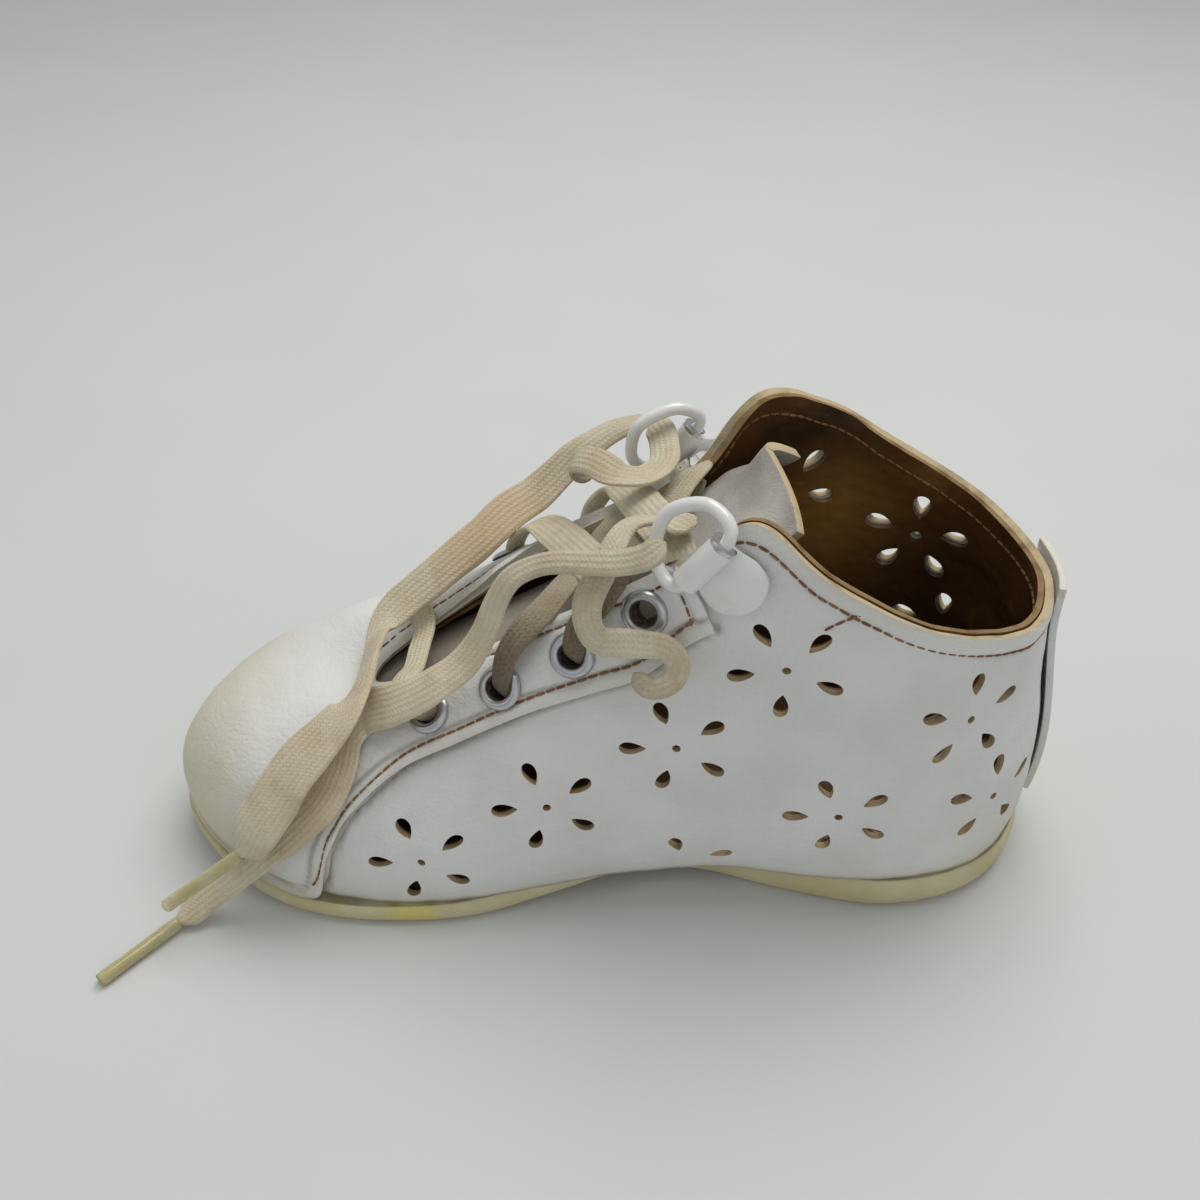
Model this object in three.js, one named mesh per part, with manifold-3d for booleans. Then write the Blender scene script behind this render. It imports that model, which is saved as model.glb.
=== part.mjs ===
import * as THREE from 'three';
import { mergeVertices } from 'three/addons/utils/BufferGeometryUtils.js';
import Module from 'manifold-3d';

const wasm = await Module();
wasm.setup();

// A toddler's white leather walking shoe for the right foot, in millimetres, +Z up, floor at Z = 0.
// The toe points along -X. "Near" is the inner side of the foot, towards -Y, and "far" the outer side.

// Driving sizes of the last
const LAST_LENGTH = 126.3;
const BALL_WIDTH = 47.4;
const COLLAR_HEIGHT = 66;
const ORIGIN_ALONG = 0.5018;
const ORIGIN_ACROSS = 0.5;

// Leather, rubber and the room left between pieces that touch
const WALL = 2.2;
const OVERLAY_STEP = 1.2;
const OVERLAY_ROOT = 0.9;
const GAP = 0.35;
const INSOLE = { thickness: 2, inset: 3.4 };
const TONGUE = { thickness: 1.6, arch: 0.02 };
const BACK_STRIP = { halfWidth: 0.36, thickness: 1.3, clear: 0.5, from: 0.07, to: 1.03 };
const SOLE = {
  archLift: 2.4,
  archMiddle: 3,
  archHalf: 22,
  toeStart: -46,
  toeSpring: 3,
  heelStart: 57,
  heelRoll: 0.8,
};

// Punched flowers: petal size and its distance from the middle of the flower
const PETAL = { length: 3.6, width: 2, radius: 5.8 };

// Metal fittings and the lace
const EYELET = { flange: 3.15, barrel: 2.15, bore: 1.75, lip: 0.75, hole: 2.55 };
const RING = { wire: 0.9, halfBar: 4.3, bow: 7.6, reach: 5.7 };
const CLIP = { bore: 1.3, tube: 1.95, halfLength: 3.7, plate: 1.1, tubeAhead: 4.1, lobe: 4.1, neck: 3.2 };
const LACE = {
  width: 6,
  bunched: 4.6,
  thickness: 1.1,
  lift: 3.7,
  over: 4.6,
  dip: 1.5,
  short: 0.25,
  aglet: 0.95,
};

// How finely the leather is divided round the shoe and up its side
const AROUND = 48;
const UP_SIDE = 7;

const FINISH = {
  leather: { color: 0xe6e3dc, roughness: 0.5, metalness: 0 },
  rubber: { color: 0xd9cfae, roughness: 0.75, metalness: 0 },
  sock: { color: 0x5d3d1d, roughness: 0.7, metalness: 0 },
  tongue: { color: 0xcfc9bd, roughness: 0.65, metalness: 0 },
  aluminium: { color: 0xbfc2c4, roughness: 0.3, metalness: 1 },
  enamel: { color: 0xe4e6e2, roughness: 0.25, metalness: 0 },
  cotton: { color: 0xc2ae8a, roughness: 0.95, metalness: 0 },
  plastic: { color: 0xd8cf9a, roughness: 0.2, metalness: 0 },
};

// Stations round the last, from the back of the heel along the near side to the toe, then the far side.
// foot: feather line, as shares of length, half the ball width and collar height.
// edge: top edge, in the same shares.
// flank: how the wall leaves the sole, up and out in mm.
// brow: how it comes to its top edge, out and up in mm.
// welt: how far the sole stands out past the feather line, in mm.
const STATIONS = [
  { name: 'heel back', foot: [1, 0, 0.1], edge: [0.97, 0, 0.72],
    flank: [15, 2.5], brow: [0.5, -14], welt: 0.7 },
  { name: 'heel near', foot: [0.949, -0.612, 0.1], edge: [0.925, -0.549, 0.735],
    flank: [15, 2.5], brow: [0.5, -14], welt: 0.7 },
  { name: 'seat near', foot: [0.818, -0.857, 0.1], edge: [0.81, -0.827, 0.818],
    flank: [15, 3], brow: [1, -16], welt: 0.7 },
  { name: 'waist near', foot: [0.62, -0.759, 0.094], edge: [0.707, -0.785, 0.917],
    flank: [14, 4.5], brow: [2.5, -18], welt: -2 },
  { name: 'corner near', foot: [0.525, -0.793, 0.085], edge: [0.632, -0.599, 1],
    flank: [14, 4.5], brow: [4, -16], welt: -2 },
  { name: 'ring near', foot: [0.438, -0.865, 0.077], edge: [0.557, -0.464, 0.864],
    flank: [14, 4], brow: [6, -14], welt: -0.4 },
  { name: 'stay near', foot: [0.311, -0.97, 0.062], edge: [0.43, -0.359, 0.667],
    flank: [13, 3], brow: [9, -8], welt: 1 },
  { name: 'ball near', foot: [0.169, -0.907, 0.059], edge: [0.303, -0.253, 0.485],
    flank: [13, 2.5], brow: [12, -3], welt: 1.8 },
  { name: 'toe near', foot: [0.066, -0.62, 0.073], edge: [0.244, -0.148, 0.409],
    flank: [14, 3], brow: [13.5, 0], welt: 2.1 },
  { name: 'toe tip', foot: [0, -0.127, 0.091], edge: [0.228, 0, 0.386],
    flank: [15.5, 3.2], brow: [15.5, 3], welt: 2.1 },
  { name: 'toe far', foot: [0.046, 0.46, 0.079], edge: [0.244, 0.148, 0.409],
    flank: [15.5, 4], brow: [14.5, 2.5], welt: 2.1 },
  { name: 'ball far', foot: [0.153, 0.869, 0.061], edge: [0.303, 0.253, 0.485],
    flank: [14, 3.8], brow: [12.5, 1], welt: 1.8 },
  { name: 'stay far', foot: [0.303, 1.03, 0.061], edge: [0.43, 0.359, 0.667],
    flank: [13, 3], brow: [9, -8], welt: 1 },
  { name: 'ring far', foot: [0.438, 0.97, 0.077], edge: [0.582, 0.506, 0.828],
    flank: [14, 4], brow: [6, -14], welt: 0.7 },
  { name: 'corner far', foot: [0.525, 0.907, 0.085], edge: [0.657, 0.65, 0.995],
    flank: [14, 4], brow: [4, -16], welt: 0.4 },
  { name: 'waist far', foot: [0.62, 0.844, 0.094], edge: [0.739, 0.852, 0.936],
    flank: [14, 4], brow: [2.5, -18], welt: 0.4 },
  { name: 'seat far', foot: [0.818, 0.857, 0.1], edge: [0.814, 0.886, 0.848],
    flank: [15, 3], brow: [1, -16], welt: 0.7 },
  { name: 'heel far', foot: [0.949, 0.612, 0.1], edge: [0.929, 0.612, 0.742],
    flank: [15, 2.5], brow: [0.5, -14], welt: 0.7 },
];
const TURN = STATIONS.length;

// The vamp and its eyestays lie over the quarters. Each pair is a place on the overlay's lower edge and the
// place on the throat's edge above it, in stations round and shares up the near side, from the square rear
// corner to the toe.
const OVERLAY = [
  { seam: [3.97, 0.745], throat: [4.95, 1] },
  { seam: [4.65, 0.682], throat: [5.2, 1] },
  { seam: [5.29, 0.687], throat: [5.5, 1] },
  { seam: [5.77, 0.679], throat: [5.85, 1] },
  { seam: [6.19, 0.64], throat: [6.25, 1] },
  { seam: [6.57, 0.577], throat: [6.65, 1] },
  { seam: [6.81, 0.421], throat: [7, 1] },
  { seam: [6.88, 0.277], throat: [7.3, 1] },
  { seam: [7.02, 0.015], throat: [7.6, 1] },
  { seam: [8, 0.015], throat: [8.3, 1] },
  { seam: [9, 0.015], throat: [9, 1] },
];

// Middles of the flowers on the near side, their turn in degrees and the petals that clear the sole
const FLOWERS = [
  { at: [3.1, 0.747], turn: -2, petals: [0, 1, 2, 3, 4] },
  { at: [3.91, 0.462], turn: -15, petals: [0, 1, 2, 3, 4] },
  { at: [5.26, 0.357], turn: -15, petals: [0, 1, 2, 3, 4] },
  { at: [6.18, 0.218], turn: -15, petals: [0, 1, 2, 3, 4] },
  { at: [2.38, 0.324], turn: -13, petals: [0, 1, 2, 3, 4] },
  { at: [3.24, 0.03], turn: -20, petals: [0, 1] },
  { at: [1.57, 0.703], turn: -34, petals: [0, 1, 2, 3, 4] },
  { at: [1.26, 0.343], turn: -34, petals: [0, 1, 2, 3, 4] },
];

const EYELETS = [[6.56, 0.774], [6.04, 0.792], [5.53, 0.823], [5, 0.869]];
const CLIP_SEAT = {
  near: { at: [3.98, 0.86], height: GAP },
  far: { at: [13.8, 0.78], height: OVERLAY_STEP + 2 * GAP },
};
const CLIP_AXIS = new THREE.Vector3(0.6, 0, 0.8);
const RING_LEAN = {
  near: new THREE.Vector3(-0.56, 0.69, 0.46),
  far: new THREE.Vector3(-0.75, -0.25, 0.61),
};

// Middle line of the tongue, from under the vamp to its top, with its width there
const TONGUE_LINE = [
  { at: [-42, 0, 20.2], width: 14 },
  { at: [-34, 0, 21.7], width: 15 },
  { at: [-23, 0, 29.2], width: 16.5 },
  { at: [-9, 0, 39.2], width: 18 },
  { at: [3, 0, 47.2], width: 19 },
  { at: [12, 0, 54.6], width: 20 },
  { at: [17, 0, 59.8], width: 20 },
  { at: [20.3, 0, 64.2], width: 19 },
];

// Slack runs of the lace: the middle line of each, and the way its broad side looks at even shares along it
const LACE_RUNS = {
  lace_loop_near: {
    route: [
      [10, -10.2, 61.6], [7, -7.2, 60.6], [2.4, -8.2, 60.6], [-0.6, -12.6, 58.6], [-3, -16.2, 54.4],
      [-1.8, -18.6, 51.2], [2.6, -18.9, 50.8], [6.4, -19.2, 51], [7.6, -19.8, 48.4], [5, -19.2, 46.6],
    ],
    faces: [[-0.6, 0.6, 0.5], [-0.5, 0, 0.8], [-0.5, -0.7, 0.4], [-0.3, -0.8, 0.4], [-0.3, -0.9, 0.4]],
  },
  lace_loop_far: {
    route: [
      [7.2, 12.6, 58.6], [7, 9, 58.2], [4.6, 6.2, 57.8], [1, 6, 58.2], [-2.2, 8.4, 58.6],
      [-4.6, 10.6, 57.6], [-4.8, 11.8, 55.4], [-2.4, 12.4, 53.8],
    ],
    faces: [[-0.4, -0.4, 0.8], [-0.4, -0.3, 0.8], [-0.3, 0, 0.9], [-0.8, 0.3, 0.4], [-0.5, 0.3, -0.6]],
  },
  lace_end_near: {
    route: [
      [6.4, -15.9, 64.2], [4.2, -16.4, 62.4], [1.1, -15.4, 60.6], [-2.6, -14, 59.4], [-6.2, -12.9, 58.6],
      [-9.1, -12.4, 57.6], [-12.2, -12.6, 55.8], [-14.3, -12.9, 52.2], [-16.1, -13.2, 46.8],
      [-19.3, -13.8, 42], [-23.8, -14.6, 38.6], [-29, -13.8, 34.6], [-33.7, -11.9, 30.8],
      [-36.4, -14, 28.5], [-37.5, -17.7, 25.7], [-39.6, -20.2, 22.3], [-44.2, -21.8, 17.7],
      [-48.9, -22.3, 13], [-53.9, -22.4, 7.5], [-58.6, -23.4, 3.4], [-62.1, -25.4, 1.2],
    ],
    faces: [
      [-0.6, -0.5, 0.5], [-0.3, -0.5, 0.8], [-0.2, -0.6, 0.8], [-0.7, -0.5, 0.5], [-0.5, -0.5, 0.7],
      [-0.3, -0.5, 0.8], [-0.3, -0.7, 0.6], [-0.4, -0.8, 0.4], [-0.2, -0.2, 0.9],
    ],
  },
  lace_end_far: {
    route: [
      [5.4, 18.8, 58.8], [3.2, 19.2, 58], [-0.6, 18.9, 56.4], [-4.6, 18, 53.8], [-8.2, 17.2, 50],
      [-11.2, 16, 47.6], [-14.7, 13.6, 46.4], [-18.9, 9.8, 44.4], [-24.7, 6.4, 40.8], [-30, 4.2, 36.8],
      [-32.9, 1.6, 34.4], [-33.5, -3, 34.2], [-33.9, -9.4, 34.8], [-35.3, -14, 33.8], [-37.9, -16, 31.2],
      [-42, -18.4, 27.4], [-45.5, -21, 23.2], [-48.7, -22.7, 18.8], [-51.1, -23.2, 14.6],
    ],
    faces: [
      [-0.2, 0.9, 0.3], [-0.4, 0.5, 0.8], [-0.6, 0.4, 0.7], [-0.5, 0.1, 0.8], [-0.6, 0.1, 0.8],
      [-0.5, -0.1, 0.8], [-0.3, -0.5, 0.8], [-0.3, -0.7, 0.6], [-0.4, -0.8, 0.4],
    ],
  },
};

// Clear tips on the free ends, from the lace to their far end
const AGLETS = {
  aglet_near: { from: [-62.6, -25.9, 1.1], to: [-70.6, -34.9, 1.05] },
  aglet_far: { from: [-51.6, -23.5, 14.1], to: [-62.3, -26.6, 6.8] },
};

// Place in the part of a point given in shares of the last
function place([along, across, up]) {
  return new THREE.Vector3(
    (along - ORIGIN_ALONG) * LAST_LENGTH,
    across * BALL_WIDTH / 2 - ORIGIN_ACROSS,
    up * COLLAR_HEIGHT,
  );
}

// Level direction straight out of the feather line at a station
function outward(index) {
  const next = place(STATIONS[(index + 1) % TURN].foot);
  const last = place(STATIONS[(index + TURN - 1) % TURN].foot);
  return new THREE.Vector3(last.y - next.y, next.x - last.x, 0).normalize();
}

// Control rows of the upper: its feather line, two handles, its top edge, and the edge of the sole below it
function controlRows() {
  const rows = { feather: [], flank: [], brow: [], edge: [], welt: [] };
  STATIONS.forEach((station, index) => {
    const out = outward(index);
    const foot = place(station.foot);
    const edge = place(station.edge);
    const lean = new THREE.Vector3(foot.x - edge.x, foot.y - edge.y, 0);
    const toFoot = lean.length() > 3 ? lean.clone().normalize() : out;
    rows.feather.push(foot);
    rows.flank.push(foot.clone().addScaledVector(out, station.flank[1]).setZ(foot.z + station.flank[0]));
    rows.brow.push(edge.clone().addScaledVector(toFoot, station.brow[0]).setZ(edge.z + station.brow[1]));
    rows.edge.push(edge);
    rows.welt.push(foot.clone().addScaledVector(out, station.welt));
  });
  const curves = {};
  for (const [name, points] of Object.entries(rows)) {
    curves[name] = new THREE.CatmullRomCurve3(points, true, 'catmullrom', 0.5);
  }
  return curves;
}
const ROWS = controlRows();

// Share of the way round for a place counted in stations
function share(u) {
  return (((u / TURN) % 1) + 1) % 1;
}

// Outer face of the quarters, u stations round and v of the way from the sole to the top edge
function face(u, v) {
  const t = share(u);
  const profile = new THREE.CubicBezierCurve3(
    ROWS.feather.getPoint(t),
    ROWS.flank.getPoint(t),
    ROWS.brow.getPoint(t),
    ROWS.edge.getPoint(t),
  );
  return profile.getPoint(v);
}

// Direction straight out of the leather
function outOf(u, v) {
  const step = 0.001;
  const height = THREE.MathUtils.clamp(v, step, 1 - step);
  const round = face(u + step, height).sub(face(u - step, height));
  const up = face(u, height + step).sub(face(u, height - step));
  return up.cross(round).normalize();
}

// Point at a height above the quarters' outer face, or inside the wall where the height is negative
function leather(u, v, height) {
  return face(u, v).addScaledVector(outOf(u, v), height);
}

// The same place on the near or the far side
function sided(u, side) {
  return side === 'near' ? u : TURN - u;
}

// Closed geometry through loops of equal length: joined end to start, or closed by strips across both ends
function loft(loops, joined = false) {
  const count = loops[0].length;
  const index = [];
  const rows = joined ? loops.length : loops.length - 1;
  for (let row = 0; row < rows; row++) {
    const here = row * count;
    const there = ((row + 1) % loops.length) * count;
    for (let i = 0; i < count; i++) {
      const next = (i + 1) % count;
      index.push(here + i, here + next, there + next, here + i, there + next, there + i);
    }
  }
  if (!joined) {
    const top = (loops.length - 1) * count;
    for (let i = 0; i < count / 2 - 1; i++) {
      const across = count - 1 - i;
      index.push(i, across, i + 1, i + 1, across, across - 1);
      index.push(top + i, top + i + 1, top + across, top + i + 1, top + across - 1, top + across);
    }
  }
  return facingOut(new THREE.BufferGeometry().setFromPoints(loops.flat()).setIndex(index));
}

// Turns a closed geometry's triangles to face out
function facingOut(geometry) {
  const [a, b, c] = [new THREE.Vector3(), new THREE.Vector3(), new THREE.Vector3()];
  const position = geometry.getAttribute('position');
  const order = Array.from(geometry.index.array);
  let volume = 0;
  for (let i = 0; i < order.length; i += 3) {
    a.fromBufferAttribute(position, order[i]);
    b.fromBufferAttribute(position, order[i + 1]);
    c.fromBufferAttribute(position, order[i + 2]);
    volume += a.dot(b.cross(c));
  }
  return geometry.setIndex(volume < 0 ? order.reverse() : order);
}

// Solid for joining and cutting, and the geometry of a finished one
function solid(geometry) {
  const bare = new THREE.BufferGeometry();
  bare.setAttribute('position', geometry.getAttribute('position'));
  bare.setIndex(geometry.index);
  const merged = mergeVertices(bare, 1e-4);
  const vertProperties = new Float32Array(merged.getAttribute('position').array);
  const triVerts = new Uint32Array(merged.index.array);
  return new wasm.Manifold(new wasm.Mesh({ numProp: 3, vertProperties, triVerts }));
}

function geometryOf(body) {
  const { vertProperties, triVerts } = body.getMesh();
  const geometry = new THREE.BufferGeometry();
  geometry.setAttribute('position', new THREE.Float32BufferAttribute(vertProperties, 3));
  return geometry.setIndex(Array.from(triVerts));
}

const shoe = new THREE.Group();

function addPiece(name, geometry, finish) {
  const mesh = new THREE.Mesh(geometry, new THREE.MeshStandardMaterial(finish));
  mesh.name = name;
  shoe.add(mesh);
}

// Evenly spread places round the shoe, half a step off the middle of the heel
function placesRound(count) {
  return Array.from({ length: count }, (_, i) => (i + 0.5) * TURN / count);
}

// Height of the sole's underside: flat at heel and ball, lifted at waist and toe and a little at the back
function treadHeight(x) {
  const arch = Math.max(0, 1 - ((x - SOLE.archMiddle) / SOLE.archHalf) ** 2);
  const toe = Math.max(0, (SOLE.toeStart - x) / (LAST_LENGTH / 2 + SOLE.toeStart));
  const heel = Math.max(0, (x - SOLE.heelStart) / (LAST_LENGTH / 2 - SOLE.heelStart));
  return SOLE.archLift * arch ** 2 + SOLE.toeSpring * toe ** 2 + SOLE.heelRoll * heel ** 2;
}

// The sole's side from the tread to the feather line: out from its edge in mm, and share of its thickness
const SOLE_SIDE = [
  { out: -1.1, up: 0 },
  { out: -0.1, up: 0.2 },
  { out: 0.25, up: 0.6 },
  { out: 0, up: 0.9 },
  { out: -0.5, up: 1 },
];

function outsole() {
  const loops = SOLE_SIDE.map(({ out, up }) => placesRound(AROUND).map((u) => {
    const t = share(u);
    const rim = ROWS.welt.getPoint(t);
    const tangent = ROWS.welt.getTangent(t);
    const tread = treadHeight(rim.x);
    const top = ROWS.feather.getPoint(t).z - GAP;
    return new THREE.Vector3(
      rim.x - tangent.y * out,
      rim.y + tangent.x * out,
      tread + (top - tread) * up,
    );
  }));
  addPiece('outsole', loft(loops), FINISH.rubber);
}

function insole() {
  const level = (height) => placesRound(AROUND / 2).map((u) => {
    const t = share(u);
    const rim = ROWS.feather.getPoint(t);
    const tangent = ROWS.feather.getTangent(t);
    return new THREE.Vector3(
      rim.x + tangent.y * INSOLE.inset,
      rim.y - tangent.x * INSOLE.inset,
      rim.z + height,
    );
  });
  addPiece('insole', loft([level(0), level(INSOLE.thickness)]), FINISH.sock);
}

// Hollow wall of the quarters, open at the top and underneath
function quarters() {
  const rise = (step) => step / UP_SIDE;
  const loop = (v, height) => placesRound(AROUND).map((u) => leather(u, v, height));
  const loops = [];
  for (let step = 0; step <= UP_SIDE; step++) {
    loops.push(loop(rise(step), 0));
  }
  for (let step = UP_SIDE; step >= 0; step--) {
    loops.push(loop(rise(step), -WALL));
  }
  return solid(loft(loops, true));
}

// Vamp and eyestays, standing a step above the quarters and rooted in them
function overlay() {
  const farSide = OVERLAY.slice(0, -1).reverse().map(({ seam, throat }) => ({
    seam: [TURN - seam[0], seam[1]],
    throat: [TURN - throat[0], throat[1]],
  }));
  const pairs = [...OVERLAY, ...farSide];
  const between = pairs.slice(1).map((pair, i) => ({
    seam: pair.seam.map((value, k) => (value + pairs[i].seam[k]) / 2),
    throat: pair.throat.map((value, k) => (value + pairs[i].throat[k]) / 2),
  }));
  const columns = pairs.flatMap((pair, i) => (i < between.length ? [pair, between[i]] : [pair]));
  const steps = 5;
  const rise = ({ seam, throat }, height) => Array.from({ length: steps + 1 }, (_, i) => {
    const w = i / steps;
    return leather(seam[0] + (throat[0] - seam[0]) * w, seam[1] + (throat[1] - seam[1]) * w, height);
  });
  const loops = columns.map((pair) => [
    ...rise(pair, OVERLAY_STEP),
    ...rise(pair, -OVERLAY_ROOT).reverse(),
  ]);
  return solid(loft(loops));
}

// Frame on the leather: level direction towards the heel, direction up the side, and straight out
function frameAt(u, v, height) {
  const out = outOf(u, v);
  const back = new THREE.Vector3(1, 0, 0);
  back.addScaledVector(out, -back.dot(out)).normalize();
  const up = new THREE.Vector3().crossVectors(out, back);
  if (up.z < 0) {
    up.negate();
  }
  return { at: leather(u, v, height), back, up, out };
}

// Teardrop prism through the wall, its point towards the middle of its flower
function petal(frame, angle) {
  const half = PETAL.length / 2;
  const broad = PETAL.width / 2;
  const outline = [
    [-half, 0],
    [0.05 * half, 0.85 * broad],
    [0.7 * half, 0.85 * broad],
    [half, 0],
    [0.7 * half, -0.85 * broad],
    [0.05 * half, -0.85 * broad],
  ];
  const radial = frame.back.clone().multiplyScalar(Math.cos(angle))
    .addScaledVector(frame.up, Math.sin(angle));
  const lateral = new THREE.Vector3().crossVectors(frame.out, radial);
  const level = (height) => outline.map(([along, aside]) => frame.at.clone()
    .addScaledVector(radial, PETAL.radius + along)
    .addScaledVector(lateral, aside)
    .addScaledVector(frame.out, height));
  return solid(loft([level(-2 * WALL), level(2 * WALL)]));
}

// Round hole for an eyelet's barrel
function eyeletHole(u, v) {
  const frame = frameAt(u, v, 0);
  const sides = 10;
  const level = (height) => Array.from({ length: sides }, (_, i) => {
    const angle = 2 * Math.PI * i / sides;
    return frame.at.clone()
      .addScaledVector(frame.back, EYELET.hole * Math.cos(angle))
      .addScaledVector(frame.up, EYELET.hole * Math.sin(angle))
      .addScaledVector(frame.out, height);
  });
  return solid(loft([level(-2 * WALL), level(2 * WALL)]));
}

function upper() {
  let body = quarters().add(overlay());
  for (const side of ['near', 'far']) {
    for (const { at, turn, petals } of FLOWERS) {
      const frame = frameAt(sided(at[0], side), at[1], 0);
      for (const which of petals) {
        body = body.subtract(petal(frame, THREE.MathUtils.degToRad(54 + 72 * (1 - which) + turn)));
      }
    }
    for (const [u, v] of EYELETS) {
      body = body.subtract(eyeletHole(sided(u, side), v));
    }
  }
  addPiece('upper', geometryOf(body), FINISH.leather);
}

function tongue() {
  const line = new THREE.CatmullRomCurve3(TONGUE_LINE.map(({ at }) => new THREE.Vector3(...at)));
  const widths = new THREE.CatmullRomCurve3(TONGUE_LINE.map(({ width }) => new THREE.Vector3(width, 0, 0)));
  const steps = 12;
  const lanes = [-1, -0.5, 0, 0.5, 1];
  const loops = Array.from({ length: steps + 1 }, (_, i) => {
    const t = i / steps;
    const middle = line.getPoint(t);
    const tangent = line.getTangent(t);
    const raised = new THREE.Vector3(-tangent.z, 0, tangent.x);
    const half = widths.getPoint(t).x / 2;
    const row = (height) => lanes.map((lane) => middle.clone()
      .add(new THREE.Vector3(0, lane * half, 0))
      .addScaledVector(raised, height - TONGUE.arch * (lane * half) ** 2));
    return [...row(TONGUE.thickness / 2), ...row(-TONGUE.thickness / 2).reverse()];
  });
  addPiece('tongue', loft(loops), FINISH.tongue);
}

function backStrip() {
  const steps = 8;
  const lanes = [-1, -0.5, 0, 0.5, 1];
  const loops = Array.from({ length: steps + 1 }, (_, i) => {
    const v = BACK_STRIP.from + (BACK_STRIP.to - BACK_STRIP.from) * i / steps;
    const row = (height) => lanes.map((lane) => leather(lane * BACK_STRIP.halfWidth, v, height));
    return [...row(BACK_STRIP.clear + BACK_STRIP.thickness), ...row(BACK_STRIP.clear).reverse()];
  });
  addPiece('back_strip', loft(loops), FINISH.leather);
}

// Eyelet: flange on the eyestay, barrel through the wall
function eyelet(name, u, v) {
  const depth = WALL + OVERLAY_STEP + GAP;
  const profile = [
    [EYELET.bore, -depth],
    [EYELET.barrel, -depth],
    [EYELET.barrel, GAP],
    [EYELET.flange, GAP],
    [EYELET.flange - 0.15, GAP + 0.5 * EYELET.lip],
    [EYELET.barrel + 0.2, GAP + EYELET.lip],
    [EYELET.bore, GAP + 0.5 * EYELET.lip],
  ];
  const { at, back, up, out } = frameAt(u, v, OVERLAY_STEP + 0.8 * GAP);
  const sides = 10;
  const loops = Array.from({ length: sides }, (_, i) => {
    const angle = 2 * Math.PI * i / sides;
    const spoke = back.clone().multiplyScalar(Math.cos(angle)).addScaledVector(up, Math.sin(angle));
    return profile.map(([radius, height]) => at.clone()
      .addScaledVector(spoke, radius)
      .addScaledVector(out, height));
  });
  addPiece(name, loft(loops, true), FINISH.aluminium);
}

// Frame of a ring clip: origin under the middle of its lobe, along its rolled tube, towards its lobe, and out
function clipFrame(side) {
  const { at: [u, v], height } = CLIP_SEAT[side];
  const out = outOf(u, v);
  const along = CLIP_AXIS.clone().addScaledVector(out, -CLIP_AXIS.dot(out)).normalize();
  const rear = new THREE.Vector3().crossVectors(along, out);
  if (rear.x < 0) {
    rear.negate();
  }
  const at = leather(u, v, height);
  const tube = at.clone().addScaledVector(rear, -CLIP.tubeAhead).addScaledVector(out, CLIP.tube);
  return { at, along, rear, out, tube };
}

function ringClip(side) {
  const { at, along, rear, out, tube } = clipFrame(side);
  const section = [
    [CLIP.bore, -CLIP.halfLength],
    [CLIP.tube, -CLIP.halfLength],
    [CLIP.tube, CLIP.halfLength],
    [CLIP.bore, CLIP.halfLength],
  ];
  const sides = 16;
  const rolled = Array.from({ length: sides }, (_, i) => {
    const angle = 2 * Math.PI * i / sides;
    const spoke = rear.clone().multiplyScalar(Math.cos(angle)).addScaledVector(out, Math.sin(angle));
    return section.map(([radius, reach]) => tube.clone()
      .addScaledVector(spoke, radius)
      .addScaledVector(along, reach));
  });
  const front = 0.9 * CLIP.bore - CLIP.tubeAhead;
  const arc = Array.from({ length: 9 }, (_, i) => THREE.MathUtils.degToRad(-40 + i * 27.5));
  const outline = [
    [-CLIP.neck, front + 0.2],
    ...arc.map((angle) => [CLIP.lobe * Math.cos(Math.PI - angle), CLIP.lobe * Math.sin(angle)]),
    [CLIP.neck, front + 0.2],
  ];
  const level = (height) => outline.map(([reach, back]) => at.clone()
    .addScaledVector(along, reach)
    .addScaledVector(rear, back)
    .addScaledVector(out, height));
  const plate = solid(loft([level(0), level(CLIP.plate)]));
  addPiece(`ring_clip_${side}`, geometryOf(solid(loft(rolled, true)).add(plate)), FINISH.enamel);
}

// Wire D-ring: its bar lies in the rolled tube, its bow leans where the lace pulls it
function dRing(side) {
  const { along, tube } = clipFrame(side);
  const lean = RING_LEAN[side].clone();
  lean.addScaledVector(along, -lean.dot(along)).normalize();
  const flat = new THREE.Vector3().crossVectors(along, lean);
  const outline = [
    [-RING.halfBar, 0],
    [0, 0],
    [RING.halfBar, 0],
    [RING.reach, 0.25 * RING.bow],
    [0.8 * RING.reach, 0.7 * RING.bow],
    [0, RING.bow],
    [-0.8 * RING.reach, 0.7 * RING.bow],
    [-RING.reach, 0.25 * RING.bow],
  ];
  const points = outline.map(([reach, rise]) => tube.clone()
    .addScaledVector(along, reach)
    .addScaledVector(lean, rise));
  const wire = new THREE.CatmullRomCurve3(points, true);
  const steps = 18;
  const sides = 6;
  const loops = Array.from({ length: steps }, (_, i) => {
    const middle = wire.getPoint(i / steps);
    const aside = new THREE.Vector3().crossVectors(flat, wire.getTangent(i / steps)).normalize();
    return Array.from({ length: sides }, (__, k) => {
      const angle = 2 * Math.PI * k / sides;
      return middle.clone()
        .addScaledVector(aside, RING.wire * Math.cos(angle))
        .addScaledVector(flat, RING.wire * Math.sin(angle));
    });
  });
  addPiece(`ring_${side}`, loft(loops, true), FINISH.enamel);
}

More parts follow.
